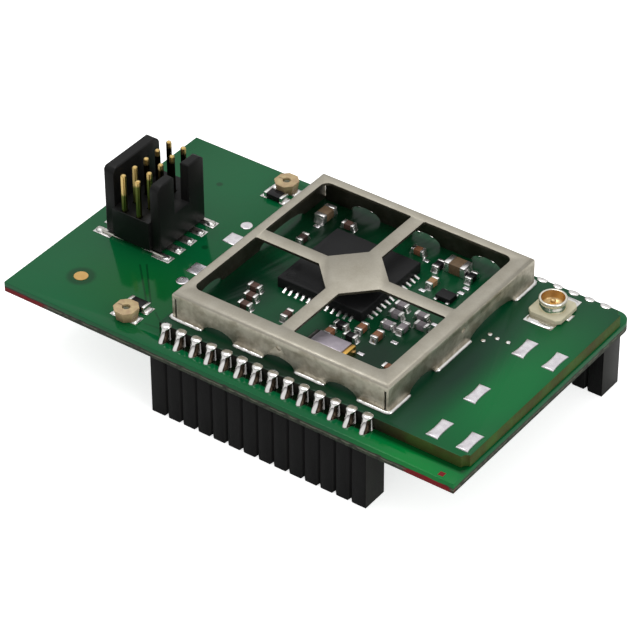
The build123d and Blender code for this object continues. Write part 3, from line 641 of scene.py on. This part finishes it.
def round_wall_ends(work):
    """Rounds the top corners at both ends of a moulding's walls, with three cuts at each end."""
    top = max(vert.co.z for vert in work.verts)
    radius = 0.6 * MM
    for side in (1, -1):
        end = max(vert.co.y * side for vert in work.verts if vert.co.z > top - MM)
        for degrees in (18, 45, 72):
            slope = Vector((0, side * math.cos(math.radians(degrees)), math.sin(math.radians(degrees))))
            corner = Vector((0, side * (end - radius), top - radius)) + slope * radius
            parts = work.verts[:] + work.edges[:] + work.faces[:]
            cut = bmesh.ops.bisect_plane(work, geom=parts, plane_co=corner, plane_no=slope, clear_outer=True)
            open_edges = [part for part in cut["geom_cut"] if isinstance(part, bmesh.types.BMEdge)]
            bmesh.ops.holes_fill(work, edges=open_edges)


def soften(node, edge, material, angle=35, shape_first=None):
    """Finishes a CAD node with its flat faces joined up and its edges softened by a small round."""
    work = merged(node, True)
    if shape_first is not None:
        shape_first(work)
    piece = linked("work", to_mesh(work, False))
    bevel = piece.modifiers.new("Edges", "BEVEL")
    bevel.width = edge * MM
    bevel.segments = 2
    bevel.limit_method = "ANGLE"
    bevel.angle_limit = math.radians(angle)
    bevel.harden_normals = False
    finish(node, evaluated(piece), material)


def rounded_block(work, low, high, edge):
    """Adds a block with rounded edges to a mesh in work."""
    verts = bmesh.ops.create_cube(work, size=1.0)["verts"]
    for vert in verts:
        vert.co = middle_of(low, high) + vert.co * (high - low)
    edges = list(dict.fromkeys(link for vert in verts for link in vert.link_edges))
    bmesh.ops.bevel(work, geom=edges, offset=edge, segments=2, affect="EDGES", profile=0.5, clamp_overlap=True)


def skin(work, rows):
    """Adds the faces between each row of vertices and the next."""
    for lower, upper in zip(rows, rows[1:]):
        for index in range(len(lower)):
            work.faces.new((lower[index - 1], lower[index], upper[index], upper[index - 1]))


def loft(work, rings):
    """Skins a stack of rings, each a list of places, and closes its ends."""
    rows = [[work.verts.new(place) for place in ring] for ring in rings]
    skin(work, rows)
    work.faces.new(list(reversed(rows[0])))
    work.faces.new(rows[-1])
    return rows


def oval(x, y, z, across, along, count, first=0.0):
    """Places round a level oval. Its half sizes are in millimetres, and its first turn is in degrees."""
    turns = [math.radians(first) + step * math.tau / count for step in range(count)]
    return [Vector((x + across * MM * math.cos(turn), y + along * MM * math.sin(turn), z)) for turn in turns]


# Geometry Nodes: one piece repeated along a row

def make_row_tree():
    """Repeats one piece along a row, each copy a little different in size and turn."""
    tree = bpy.data.node_groups.new("Row of pieces", "GeometryNodeTree")
    kinds = {"Piece": "Object", "Count": "Int", "Start": "Vector", "Step": "Vector", "Turn": "Float",
             "Size change": "Float", "Turn change": "Float", "Seed": "Int", "Material": "Material"}
    for label, kind in kinds.items():
        tree.interface.new_socket(label, in_out="INPUT", socket_type="NodeSocket" + kind)
    tree.interface.new_socket("Geometry", in_out="OUTPUT", socket_type="NodeSocketGeometry")
    nodes = Nodes(tree)
    given = nodes.outputs_of(tree.nodes.new("NodeGroupInput"))
    line = nodes.add("GeometryNodeMeshLine", {"Count": given["Count"], "Start Location": given["Start"],
                                              "Offset": given["Step"]}, mode="OFFSET")
    source = nodes.add("GeometryNodeObjectInfo", {"Object": given["Piece"]}, "Geometry",
                       transform_space="ORIGINAL")
    wobble = nodes.add("FunctionNodeRandomValue", {"Seed": given["Seed"]}, 1, data_type="FLOAT")
    heading = given["Turn"] + (wobble - 0.5) * given["Turn change"]
    turn = nodes.add("ShaderNodeCombineXYZ", {"Z": heading})
    smallest, largest = [nodes.add("ShaderNodeCombineXYZ", {"X": share, "Y": share, "Z": 1.0})
                         for share in (1.0 - given["Size change"], given["Size change"] + 1.0)]
    other_seed = nodes.add("FunctionNodeIntegerMath", {0: given["Seed"], 1: 7}, operation="ADD")
    size = nodes.add("FunctionNodeRandomValue", {"Seed": other_seed, "Min": smallest, "Max": largest},
                     data_type="FLOAT_VECTOR")
    copies = nodes.add("GeometryNodeInstanceOnPoints", {"Points": line, "Instance": source,
                                                        "Rotation": turn, "Scale": size})
    solid = nodes.add("GeometryNodeRealizeInstances", {"Geometry": copies})
    finished = nodes.add("GeometryNodeSetMaterial", {"Geometry": solid, "Material": given["Material"]})
    nodes.feed(tree.nodes.new("NodeGroupOutput").inputs[0], finished)
    return tree


ROW_TREE = make_row_tree()
ROW_INPUTS = {item.name: item.identifier for item in ROW_TREE.interface.items_tree if item.in_out == "INPUT"}


def repeated(mesh, count, rows, material, size_change=0.0, turn_change=0.0):
    """The plain mesh of a piece repeated in rows, each with its start, step, turn and seed."""
    pattern = linked("pattern", mesh)
    work = bmesh.new()
    for start, step, turn, seed in rows:
        holder = linked("row", bpy.data.meshes.new("row"))
        modifier = holder.modifiers.new("Shape", "NODES")
        modifier.node_group = ROW_TREE
        values = {"Piece": pattern, "Count": count, "Start": start, "Step": step, "Turn": turn, "Seed": seed,
                  "Size change": size_change, "Turn change": turn_change, "Material": material}
        for label, value in values.items():
            modifier[ROW_INPUTS[label]] = value
        row = evaluated(holder)
        work.from_mesh(row)
        bpy.data.meshes.remove(row)
    bpy.data.objects.remove(pattern)
    return to_mesh(work, False)


# Solder

# A joint's middle, half width and reach to the front and to the back, at heights up its side, in millimetres
JOINT_SIDE = [(0.0, 0.15, 0.41, 1.08, 0.2), (0.05, 0.15, 0.41, 1.07, 0.2), (0.12, 0.14, 0.4, 1.0, 0.2),
              (0.2, 0.12, 0.39, 0.88, 0.2), (0.32, 0.1, 0.38, 0.72, 0.2), (0.48, 0.08, 0.375, 0.58, 0.2),
              (0.64, 0.06, 0.37, 0.49, 0.2), (0.76, 0.05, 0.37, 0.45, 0.2), (0.84, 0.05, 0.39, 0.43, 0.22),
              (0.9, 0.05, 0.4, 0.41, 0.27), (0.95, 0.05, 0.38, 0.36, 0.27), (0.99, 0.05, 0.31, 0.26, 0.22),
              (1.01, 0.05, 0.18, 0.12, 0.1)]
# The same where the solder ends level with the board, as along the back edge
FLUSH_SIDE = [(0.0, 0.0, 0.42, 0.8, 0.2), (0.05, 0.0, 0.42, 0.79, 0.2), (0.12, 0.0, 0.41, 0.72, 0.2),
              (0.2, 0.0, 0.4, 0.62, 0.2), (0.32, 0.0, 0.39, 0.5, 0.2), (0.48, 0.0, 0.385, 0.4, 0.2),
              (0.64, 0.0, 0.38, 0.3, 0.2), (0.76, 0.0, 0.38, 0.22, 0.2), (0.84, 0.0, 0.39, 0.17, 0.26),
              (0.9, 0.0, 0.4, 0.14, 0.36), (0.95, 0.0, 0.38, 0.1, 0.36), (0.98, 0.0, 0.33, 0.06, 0.3),
              (1.0, 0.0, 0.2, 0.02, 0.18)]
# The outline of a joint from above, as shares of those
JOINT_PLAN = [(0.0, -1.0), (0.27, -0.965), (0.5, -0.865), (0.7, -0.71), (0.86, -0.5), (0.96, -0.27),
              (1.0, 0.0), (0.94, 0.45), (0.72, 0.82), (0.38, 0.98), (0.1, 1.0)]
# The heights between which a joint has its painted dark reflection and painted highlight
JOINT_TOE = 0.04
JOINT_HEAD = 0.82


def make_joint_mesh(side):
    """One solder joint, its toe towards -Y: spread on the carrier, drawn in, and domed on the module.

    The mesh's attribute is 1 in the hollow on the right of its front, where a dark reflection is painted, and
    -1 on the rim beside it, where a highlight is painted.
    """
    work = bmesh.new()
    dark = work.verts.layers.float.new("Tarnish")
    plan = JOINT_PLAN + [(-across, along) for across, along in reversed(JOINT_PLAN[1:])]
    rows = loft(work, [[Vector((middle + across * half, along * (back if along > 0 else front), height)) * MM
                        for across, along in plan] for height, middle, half, front, back in side])
    for (height, *_), row in zip(side, rows):
        for (across, along), vert in zip(plan, row):
            # Painted dark reflection (1) in the hollow and painted highlight (-1) on the rim beside it
            if 0.45 < across and along < 0.1 and JOINT_TOE < height < JOINT_HEAD:
                vert[dark] = -1.0 if 0.9 < across < 0.98 else 1.0
    bmesh.ops.subdivide_edges(work, edges=work.edges, cuts=1, smooth=0.5, use_grid_fill=True)
    return to_mesh(work)


def make_edge_joints():
    for node, turn, side, y, seed in (("front_edge_joints", 0.0, JOINT_SIDE, MODULE_LOW.y, 3),
                                      ("back_edge_joints", math.pi, FLUSH_SIDE, MODULE_HIGH.y, 8)):
        solids = islands(node)
        rows = [((middle_of(*solids[0]).x, y, DECK), (PITCH, 0, 0), turn, seed)]
        mesh = repeated(make_joint_mesh(side), len(solids), rows, JOINT_SOLDER, 0.05, 0.1)
        finish(node, mesh, JOINT_SOLDER, 60)


# A seam's section: how far it reaches from the wall and how high it stands, in millimetres
SEAM_SECTION = [(-0.05, 0.0), (0.28, 0.0), (0.31, 0.05), (0.29, 0.12), (0.23, 0.18), (0.14, 0.215),
                (0.05, 0.21), (-0.05, 0.18)]
# A seam tapers off over this length at each end
SEAM_END = 0.22 * MM
# A corner seam leaves the walls this far from their corner
SEAM_BEND = 0.12 * MM
# A foot of the shield is at least this long
FOOT_LENGTH = 1.0 * MM


def make_seam(work, path, rng):
    """A bead of solder along a foot, from places on the wall's line and the ways that it faces there."""
    lengths = [0.0]
    for (before, _), (after, _) in zip(path, path[1:]):
        lengths.append(lengths[-1] + (after - before).length)
    rings = []
    for (place, outward), along in zip(path, lengths):
        end = min(along, lengths[-1] - along) / SEAM_END
        swell = min(1.0, max(0.2, end)) ** 0.5 * rng.uniform(0.9, 1.05)
        rings.append([place + (outward * out + Vector((0, 0, up))) * (MM * swell)
                      for out, up in SEAM_SECTION])
    loft(work, rings)


def wall_path(start, end, outward, steps):
    return [(start.lerp(end, index / steps), outward) for index in range(steps + 1)]


def make_shield_seams():
    """A seam along each soldered foot. Where two feet meet at a corner, one seam goes round it."""
    work = bmesh.new()
    rng = random.Random(12)
    shield_middle = middle_of(SHIELD_LOW, SHIELD_HIGH)
    for low, high in islands("shield_solder"):
        wide, deep = [length > FOOT_LENGTH for length in (high - low).xy]
        away = middle_of(low, high) - shield_middle
        out_x = Vector((math.copysign(1, away.x), 0, 0))
        out_y = Vector((0, math.copysign(1, away.y), 0))
        corner = Vector((SHIELD_HIGH.x if away.x > 0 else SHIELD_LOW.x,
                         SHIELD_HIGH.y if away.y > 0 else SHIELD_LOW.y, MODULE_TOP))
        left, right = [Vector((x, corner.y, MODULE_TOP)) for x in (low.x, high.x)]
        front, back = [Vector((corner.x, y, MODULE_TOP)) for y in (low.y, high.y)]
        if wide and deep:
            both = out_x + out_y
            path = wall_path(left if away.x > 0 else right, corner - out_x * SEAM_BEND, out_y, 14)
            path.append((corner - both * (SEAM_BEND * 0.3), both.normalized()))
            path += wall_path(corner - out_y * SEAM_BEND, front if away.y > 0 else back, out_x, 14)
        elif wide:
            path = wall_path(left, right, out_y, 14)
        else:
            path = wall_path(front, back, out_x, 20)
        make_seam(work, path, rng)
    finish("shield_solder", to_mesh(work), SOLDER, 70)


def make_domes(node, material, rise, straighten=0.0):
    """Each solid of a node as a low dome of solder with the solid's own outline."""
    work = bmesh.new()
    source = merged(node, True)
    steps = 5
    for face in source.faces:
        if face.normal.z > -0.99:
            continue
        outline = [vert.co.copy() for vert in face.verts]
        middle = sum(outline, Vector()) / len(outline)
        widest = max(abs(place.x - middle.x) for place in outline)
        for place in outline:
            aside = place.x - middle.x
            if abs(aside) > widest * 0.5:
                place.x += (math.copysign(widest, aside) - aside) * straighten
        rings = []
        for index in range(steps + 1):
            turn = index / steps * math.pi / 2
            inset = 1 - 0.2 * (1 - math.cos(turn)) - (0.25 if index == steps else 0.0)
            ring = [middle + (place - middle) * inset for place in reversed(outline)]
            for place in ring:
                place.z = middle.z + rise * MM * math.sin(turn)
            rings.append(ring)
        loft(work, rings)
    source.free()
    finish(node, to_mesh(work), material, 60)


def make_pad_lumps(node, material, rise):
    """A smooth lump of solder on each pad of a node, added to the pads themselves."""
    work = bmesh.new()
    work.from_mesh(NODES[node].data)
    squared = [[math.copysign(abs(share) ** 0.7, share) for share in (math.cos(turn), math.sin(turn))]
               for turn in [step * math.tau / 16 for step in range(16)]]
    for low, high in islands(node):
        middle = middle_of(low, high)
        half = (high - low) / 2
        rings = []
        for index in range(6):
            turn = index / 5 * math.pi / 2
            grow = math.cos(turn) * 0.9 + 0.06
            height = high.z + rise * MM * math.sin(turn)
            wide, deep = half.x * grow, half.y * grow
            rings.append([Vector((middle.x + wide * across, middle.y + deep * along, height))
                          for across, along in squared])
        loft(work, rings)
    bmesh.ops.remove_doubles(work, verts=work.verts, dist=SAME_PLACE)
    finish(node, to_mesh(work), material, 50)


def make_pad_solder():
    """Solder on the header's pads: a domed toe over each tail's end."""
    work = bmesh.new()
    rng = random.Random(4)
    for low, high in islands("header_pads"):
        rounded_block(work, low, high + Vector((0, 0, 0.01)) * MM, 0.02 * MM)
        y = middle_of(low, high).y
        if middle_of(low, high).x > centre_of("header_pads").x:
            x = high.x - 0.4 * MM
        else:
            x = low.x + 0.4 * MM
        rings = []
        for height, half, reach in ((0.0, 0.33, 0.36), (0.06, 0.33, 0.34), (0.14, 0.27, 0.26),
                                    (0.19, 0.16, 0.14)):
            scale = rng.uniform(0.96, 1.04)
            rings.append(oval(x, y, high.z + height * MM, reach * scale, half * scale, 12))
        loft(work, rings)
    finish("header_pads", to_mesh(work), SATIN_SOLDER, 50)


# Chip parts under the shield

CHIP_PART_FINISH = {
    "front_left_capacitors": GREY_CERAMIC, "back_left_capacitor": DULL_TAN,
    "back_left_resistor": DARK_CERAMIC, "back_left_small_capacitor": GREY_CERAMIC,
    "back_right_large_capacitor": DULL_TAN, "back_right_capacitor": TAN_CERAMIC,
    "back_right_coil": BROWN_CERAMIC, "back_right_resistors": BLACK_GLAZE,
    "front_right_capacitors": BROWN_CERAMIC, "front_right_resistors": BLACK_GLAZE,
    "front_right_coil": BROWN_CERAMIC, "matching_parts": SILVER_PARTS,
}


def make_end_cap(work, low, high, outward):
    """A plated end with a slope of solder from its top edge down to the pad."""
    rounded_block(work, low, high, 0.045 * MM)
    side = Vector((-outward.y, outward.x, 0))
    size = high - low
    half = abs(size.dot(side)) / 2
    reach = abs(size.dot(outward)) / 2
    rings = []
    for across, scale in ((-1.0, 0.35), (-0.8, 0.85), (-0.3, 1.0), (0.3, 1.0), (0.8, 0.85), (1.0, 0.35)):
        base = middle_of(low, high) + side * (across * half * 1.04)
        ring = []
        for out, up in ((-0.05, 0.0), (0.16, 0.0), (0.14, 0.05), (0.07, 0.4), (0.02, 1.0), (-0.05, 1.0)):
            place = base + outward * (reach + out * MM * (scale if out > 0 else 1.0))
            place.z = low.z + up * size.z * 0.72 * scale
            ring.append(place)
        rings.append(ring)
    loft(work, rings)


def make_chip_parts():
    middles = []
    grow = Vector((0.01, 0.01, 0)) * MM
    for node, material in CHIP_PART_FINISH.items():
        work = bmesh.new()
        for low, high in islands(node):
            middles.append(middle_of(low, high))
            rounded_block(work, low - grow, high + grow, 0.03 * MM)
        finish(node, to_mesh(work), material)
    work = bmesh.new()
    for low, high in islands("chip_part_ends"):
        middle = middle_of(low, high)
        away = middle - min(middles, key=lambda body: (body - middle).length)
        outward = Vector()
        axis = 0 if abs(away.x) > abs(away.y) else 1
        outward[axis] = math.copysign(1, away[axis])
        make_end_cap(work, low, high, outward)
    finish("chip_part_ends", to_mesh(work), SATIN_SOLDER, 50)


def make_lead_mesh(width, reach, height):
    """The soldered toe of one chip lead, towards -Y from the moulding."""
    work = bmesh.new()
    profile = [(-0.1, 0.0), (1.0, 0.0), (1.0, 0.25), (0.7, 0.5), (0.3, 0.75), (0.0, 1.0), (-0.1, 1.0)]
    loft(work, [[Vector((across * width, -out * reach, up * height * scale)) for out, up in profile]
                for across, scale in ((-0.5, 0.7), (-0.36, 1.0), (0.36, 1.0), (0.5, 0.7))])
    return to_mesh(work)


def make_chip_leads():
    """A row of soldered leads along each side of the radio chip."""
    low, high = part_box("radio_chip")
    count = len(islands("radio_chip_leads")) // 4
    step = 0.5 * MM
    first = middle_of(low, high) - Vector((1, 1, 0)) * (step * (count - 1) / 2)
    rows = [((first.x, low.y, MODULE_TOP), (step, 0, 0), 0.0, 0),
            ((first.x, high.y, MODULE_TOP), (step, 0, 0), math.pi, 1),
            ((low.x, first.y, MODULE_TOP), (0, step, 0), -math.pi / 2, 2),
            ((high.x, first.y, MODULE_TOP), (0, step, 0), math.pi / 2, 3)]
    lead = make_lead_mesh(0.21 * MM, low.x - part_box("radio_chip_leads")[0].x, 0.22 * MM)
    finish("radio_chip_leads", repeated(lead, count, rows, SATIN_SOLDER, 0.08, 0.1), SATIN_SOLDER)


# Header

def make_pin_mesh(base, top, length):
    """One header pin: a square bar with a pointed tip, a round bend and a flat tail."""
    half = 0.18 * MM
    tail = 0.2 * MM
    bend = 0.32 * MM
    path = [(length - half, base + tail / 2), (half + bend, base + tail / 2)]
    for index in range(1, 6):
        turn = index * math.pi / 12
        path.append((half + bend - (bend + half - tail / 2) * math.sin(turn) * 0.92,
                     base + tail / 2 + bend * (1 - math.cos(turn))))
    path += [(0.0, base + bend + tail), (0.0, top - 0.14 * MM)]
    last = len(path) - 1
    rings = []
    for index, (x, z) in enumerate(path):
        before = path[max(index - 1, 0)]
        after = path[min(index + 1, last)]
        heading = Vector((after[0] - before[0], 0, after[1] - before[1])).normalized()
        normal = Vector((heading.z, 0, -heading.x))
        grown = 1.0 if index >= last - 1 else max(0, index - 1) / (last - 2)
        thick = tail / 2 + (half - tail / 2) * grown
        rings.append([Vector((x, side * half, z)) + normal * (out * thick)
                      for side, out in ((-1, -1), (1, -1), (1, 1), (-1, 1))])
    shaft = rings[-1]
    for share, drop in ((0.94, 0.07), (0.72, 0.02), (0.3, 0.0)):
        rings.append([Vector((place.x * share, place.y * share, top - drop * MM)) for place in shaft])
    work = bmesh.new()
    loft(work, rings)
    bmesh.ops.recalc_face_normals(work, faces=work.faces)
    corners = [edge for edge in work.edges if edge.calc_face_angle(0) > 0.9]
    bmesh.ops.bevel(work, geom=corners, offset=0.09 * MM, segments=3, affect="EDGES", clamp_overlap=True)
    return to_mesh(work)


def make_header():
    soften("header_shroud", 0.06, BLACK_MOULDING, 30, round_wall_ends)
    low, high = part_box("header_pins")
    middle = middle_of(low, high)
    half_pin = 0.205 * MM
    pin = make_pin_mesh(low.z, high.z, high.x - middle.x - PITCH / 2 + half_pin)
    rows = [((middle.x + side * PITCH / 2, middle.y - 2 * PITCH, 0), (0, PITCH, 0), turn, 1)
            for side, turn in ((1, 0.0), (-1, math.pi))]
    finish("header_pins", repeated(pin, 5, rows, PIN_PLATE), PIN_PLATE, 25)


# Lights and coaxial socket

def make_light_cup(node):
    """An indicator light's moulded cup: a low eight-sided block with a small round well in its top."""
    low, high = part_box(node)
    middle = middle_of(low, high)
    half_outline = [(0.83, -0.4), (0.83, 0.4), (0.37, 0.86), (-0.37, 0.86)]
    outline = half_outline + [(-x, -y) for x, y in half_outline]
    rings = []
    for share, height in ((0.86, low.z), (0.88, low.z + 0.22 * MM), (0.97, high.z - 0.2 * MM),
                          (1.0, high.z - 0.1 * MM), (0.98, high.z - 0.045 * MM), (0.93, high.z - 0.03 * MM)):
        rings.append([Vector((middle.x + x * share * MM, middle.y + y * share * MM, height))
                      for x, y in outline])
    for radius, depth in ((0.34, 0.03), (0.31, 0.05), (0.285, 0.28)):
        rings.append(oval(middle.x, middle.y, high.z - depth * MM, radius, radius, 8, -22.5))
    work = bmesh.new()
    loft(work, rings)
    finish(node, to_mesh(work), CREAM_MOULDING, 30)


def make_coax():
    """The socket: a silvery snap ring that is gilt inside, its centre pin, its moulded base and its pads."""
    low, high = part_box("coax_shell")
    middle = middle_of(low, high)
    height = (high.z - low.z) / MM
    outer = (high.x - low.x) / 2 / MM
    inner = outer - 0.17
    profile = [(0.3, 0.0), (outer - 0.04, 0.0), (outer - 0.06, 0.3), (outer - 0.12, 0.42),
               (outer - 0.12, 0.5), (outer - 0.03, 0.6), (outer, 0.68), (outer, height - 0.1),
               (outer - 0.03, height - 0.03), (outer - 0.09, height), (inner, height - 0.03),
               (inner - 0.02, height - 0.1), (inner - 0.03, 0.22), (inner - 0.14, 0.1), (0.3, 0.06)]
    work = bmesh.new()
    rows = [[work.verts.new(place) for place in oval(middle.x, middle.y, low.z + up * MM, radius, radius, 48)]
            for radius, up in profile]
    skin(work, rows + rows[:1])
    mesh = to_mesh(work)
    finish("coax_shell", mesh, SILVER_RIM, 50)
    mesh.materials.append(GOLD_PLATE)
    for face in mesh.polygons:
        inside = (face.center - middle).xy.length < (inner - 0.005) * MM
        if inside and face.center.z < high.z - 0.04 * MM:
            face.material_index = 1
    low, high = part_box("coax_pin")
    middle = middle_of(low, high)
    radius = (high.x - low.x) / 2 / MM
    work = bmesh.new()
    loft(work, [oval(middle.x, middle.y, height, radius * share, radius * share, 20)
                for share, height in ((1.0, low.z), (1.0, high.z - 0.16 * MM), (0.92, high.z - 0.08 * MM),
                                      (0.7, high.z - 0.02 * MM), (0.3, high.z))])
    finish("coax_pin", to_mesh(work), GOLD_PLATE, 50)
    soften("coax_base", 0.06, IVORY_MOULDING)
    make_pad_lumps("coax_pads", SOLDER, 0.06)


# Nodes with softened edges: the round's width in millimetres, the material and the least angle rounded

SOFTENED = {
    "carrier_board": (0.03, CARRIER_MASK, 60), "module_board": (0.03, MODULE_MASK, 60),
    "front_socket": (0.05, FRONT_SOCKET, 40), "back_socket": (0.05, BACK_SOCKET, 40),
    "shield_frame": (0.03, SHIELD_SHEET, 50), "radio_chip": (0.04, CHIP_MOULDING),
    "small_chip": (0.04, CHIP_MOULDING), "small_chip_leads": (0.03, SATIN_SOLDER),
    "crystal_can": (0.06, CRYSTAL_METAL), "crystal_ends": (0.05, CRYSTAL_ENDS),
    "front_light_lens": (0.05, CLEAR_DROP), "back_light_lens": (0.05, CLEAR_DROP),
    "front_light_resistor": (0.04, BLACK_GLAZE), "back_light_resistor": (0.04, BLACK_GLAZE),
    "front_resistor_ends": (0.04, SATIN_SOLDER), "back_resistor_ends": (0.04, SATIN_SOLDER),
}

# Nodes that keep their CAD mesh

KEPT_FINISH = {"front_contacts": GOLD_PLATE, "back_contacts": GOLD_PLATE, "fiducial": GOLD_DISC}


# Stage

def make_stage():
    scene = bpy.context.scene
    scene.view_settings.view_transform = "Standard"
    camera = bpy.data.cameras.new("camera")
    camera.lens = CAMERA_LENS
    camera.sensor_width = 36.0
    camera.clip_start = 0.01
    camera.clip_end = 10.0
    scene.camera = linked("camera", camera)
    scene.camera.location = CAMERA_PLACE
    scene.camera.rotation_euler = Euler(CAMERA_TURN, "XYZ")

    mesh = bpy.data.meshes.new("floor")
    reach = 2.0
    mesh.from_pydata([(-reach, -reach, 0), (reach, -reach, 0), (reach, reach, 0), (-reach, reach, 0)], [],
                     [(0, 1, 2, 3)])
    look = Look("Floor", 0.9)
    look.set("Base Color", (0.8, 0.8, 0.8, 1))
    plain = Signal(look, look.tree.nodes["Principled BSDF"].outputs[0])
    glow = look.add("ShaderNodeEmission", {"Color": (1, 1, 1, 1), "Strength": 0.7})
    both = look.add("ShaderNodeAddShader", {0: plain, 1: glow})
    seen = look.add("ShaderNodeLightPath", out="Is Camera Ray")
    chosen = look.add("ShaderNodeMixShader", {0: seen, 1: plain, 2: both})
    look.feed(look.tree.nodes["Material Output"].inputs[0], chosen)
    mesh.materials.append(look.material)
    linked("floor", mesh)

    world = bpy.data.worlds.new("studio")
    scene.world = world
    world.use_nodes = True
    nodes = Nodes(world.node_tree)
    background = world.node_tree.nodes["Background"]
    background.inputs[0].default_value = (1, 1, 1, 1)
    up = nodes.axes(nodes.add("ShaderNodeTexCoord", out="Generated"))[2]
    seen = nodes.add("ShaderNodeLightPath", out="Is Camera Ray")
    nodes.feed(background.inputs[1], up.spread(0.0, 0.55, 0.1, 0.8).maths("MAXIMUM", seen))

    for name, place, size, power in (("key", (-0.12, 0.04, 0.5), 0.3, 0.65),
                                     ("fill", (0.45, -0.08, 0.22), 0.35, 0.6)):
        light = bpy.data.lights.new(name, "AREA")
        light.shape = "DISK"
        light.size = size
        light.energy = power
        lamp = linked(name, light)
        lamp.location = place
        lamp.rotation_euler = Vector(place).to_track_quat("Z", "Y").to_euler()


make_stage()
for node, settings in SOFTENED.items():
    soften(node, *settings)
for node, material in KEPT_FINISH.items():
    NODES[node].data.materials.clear()
    NODES[node].data.materials.append(material)
make_light_cup("front_light_body")
make_light_cup("back_light_body")
make_edge_joints()
make_shield_seams()
make_chip_parts()
make_chip_leads()
make_header()
make_pad_solder()
make_coax()
make_pad_lumps("light_pads", SATIN_SOLDER, 0.12)
make_domes("antenna_pads", TINNED_PAD, 0.11, 0.45)
make_domes("bare_pads", TINNED_PAD, 0.05)
make_domes("carrier_pads", TINNED_PAD, 0.05)
make_domes("solder_dots", SOLDER, 0.1)
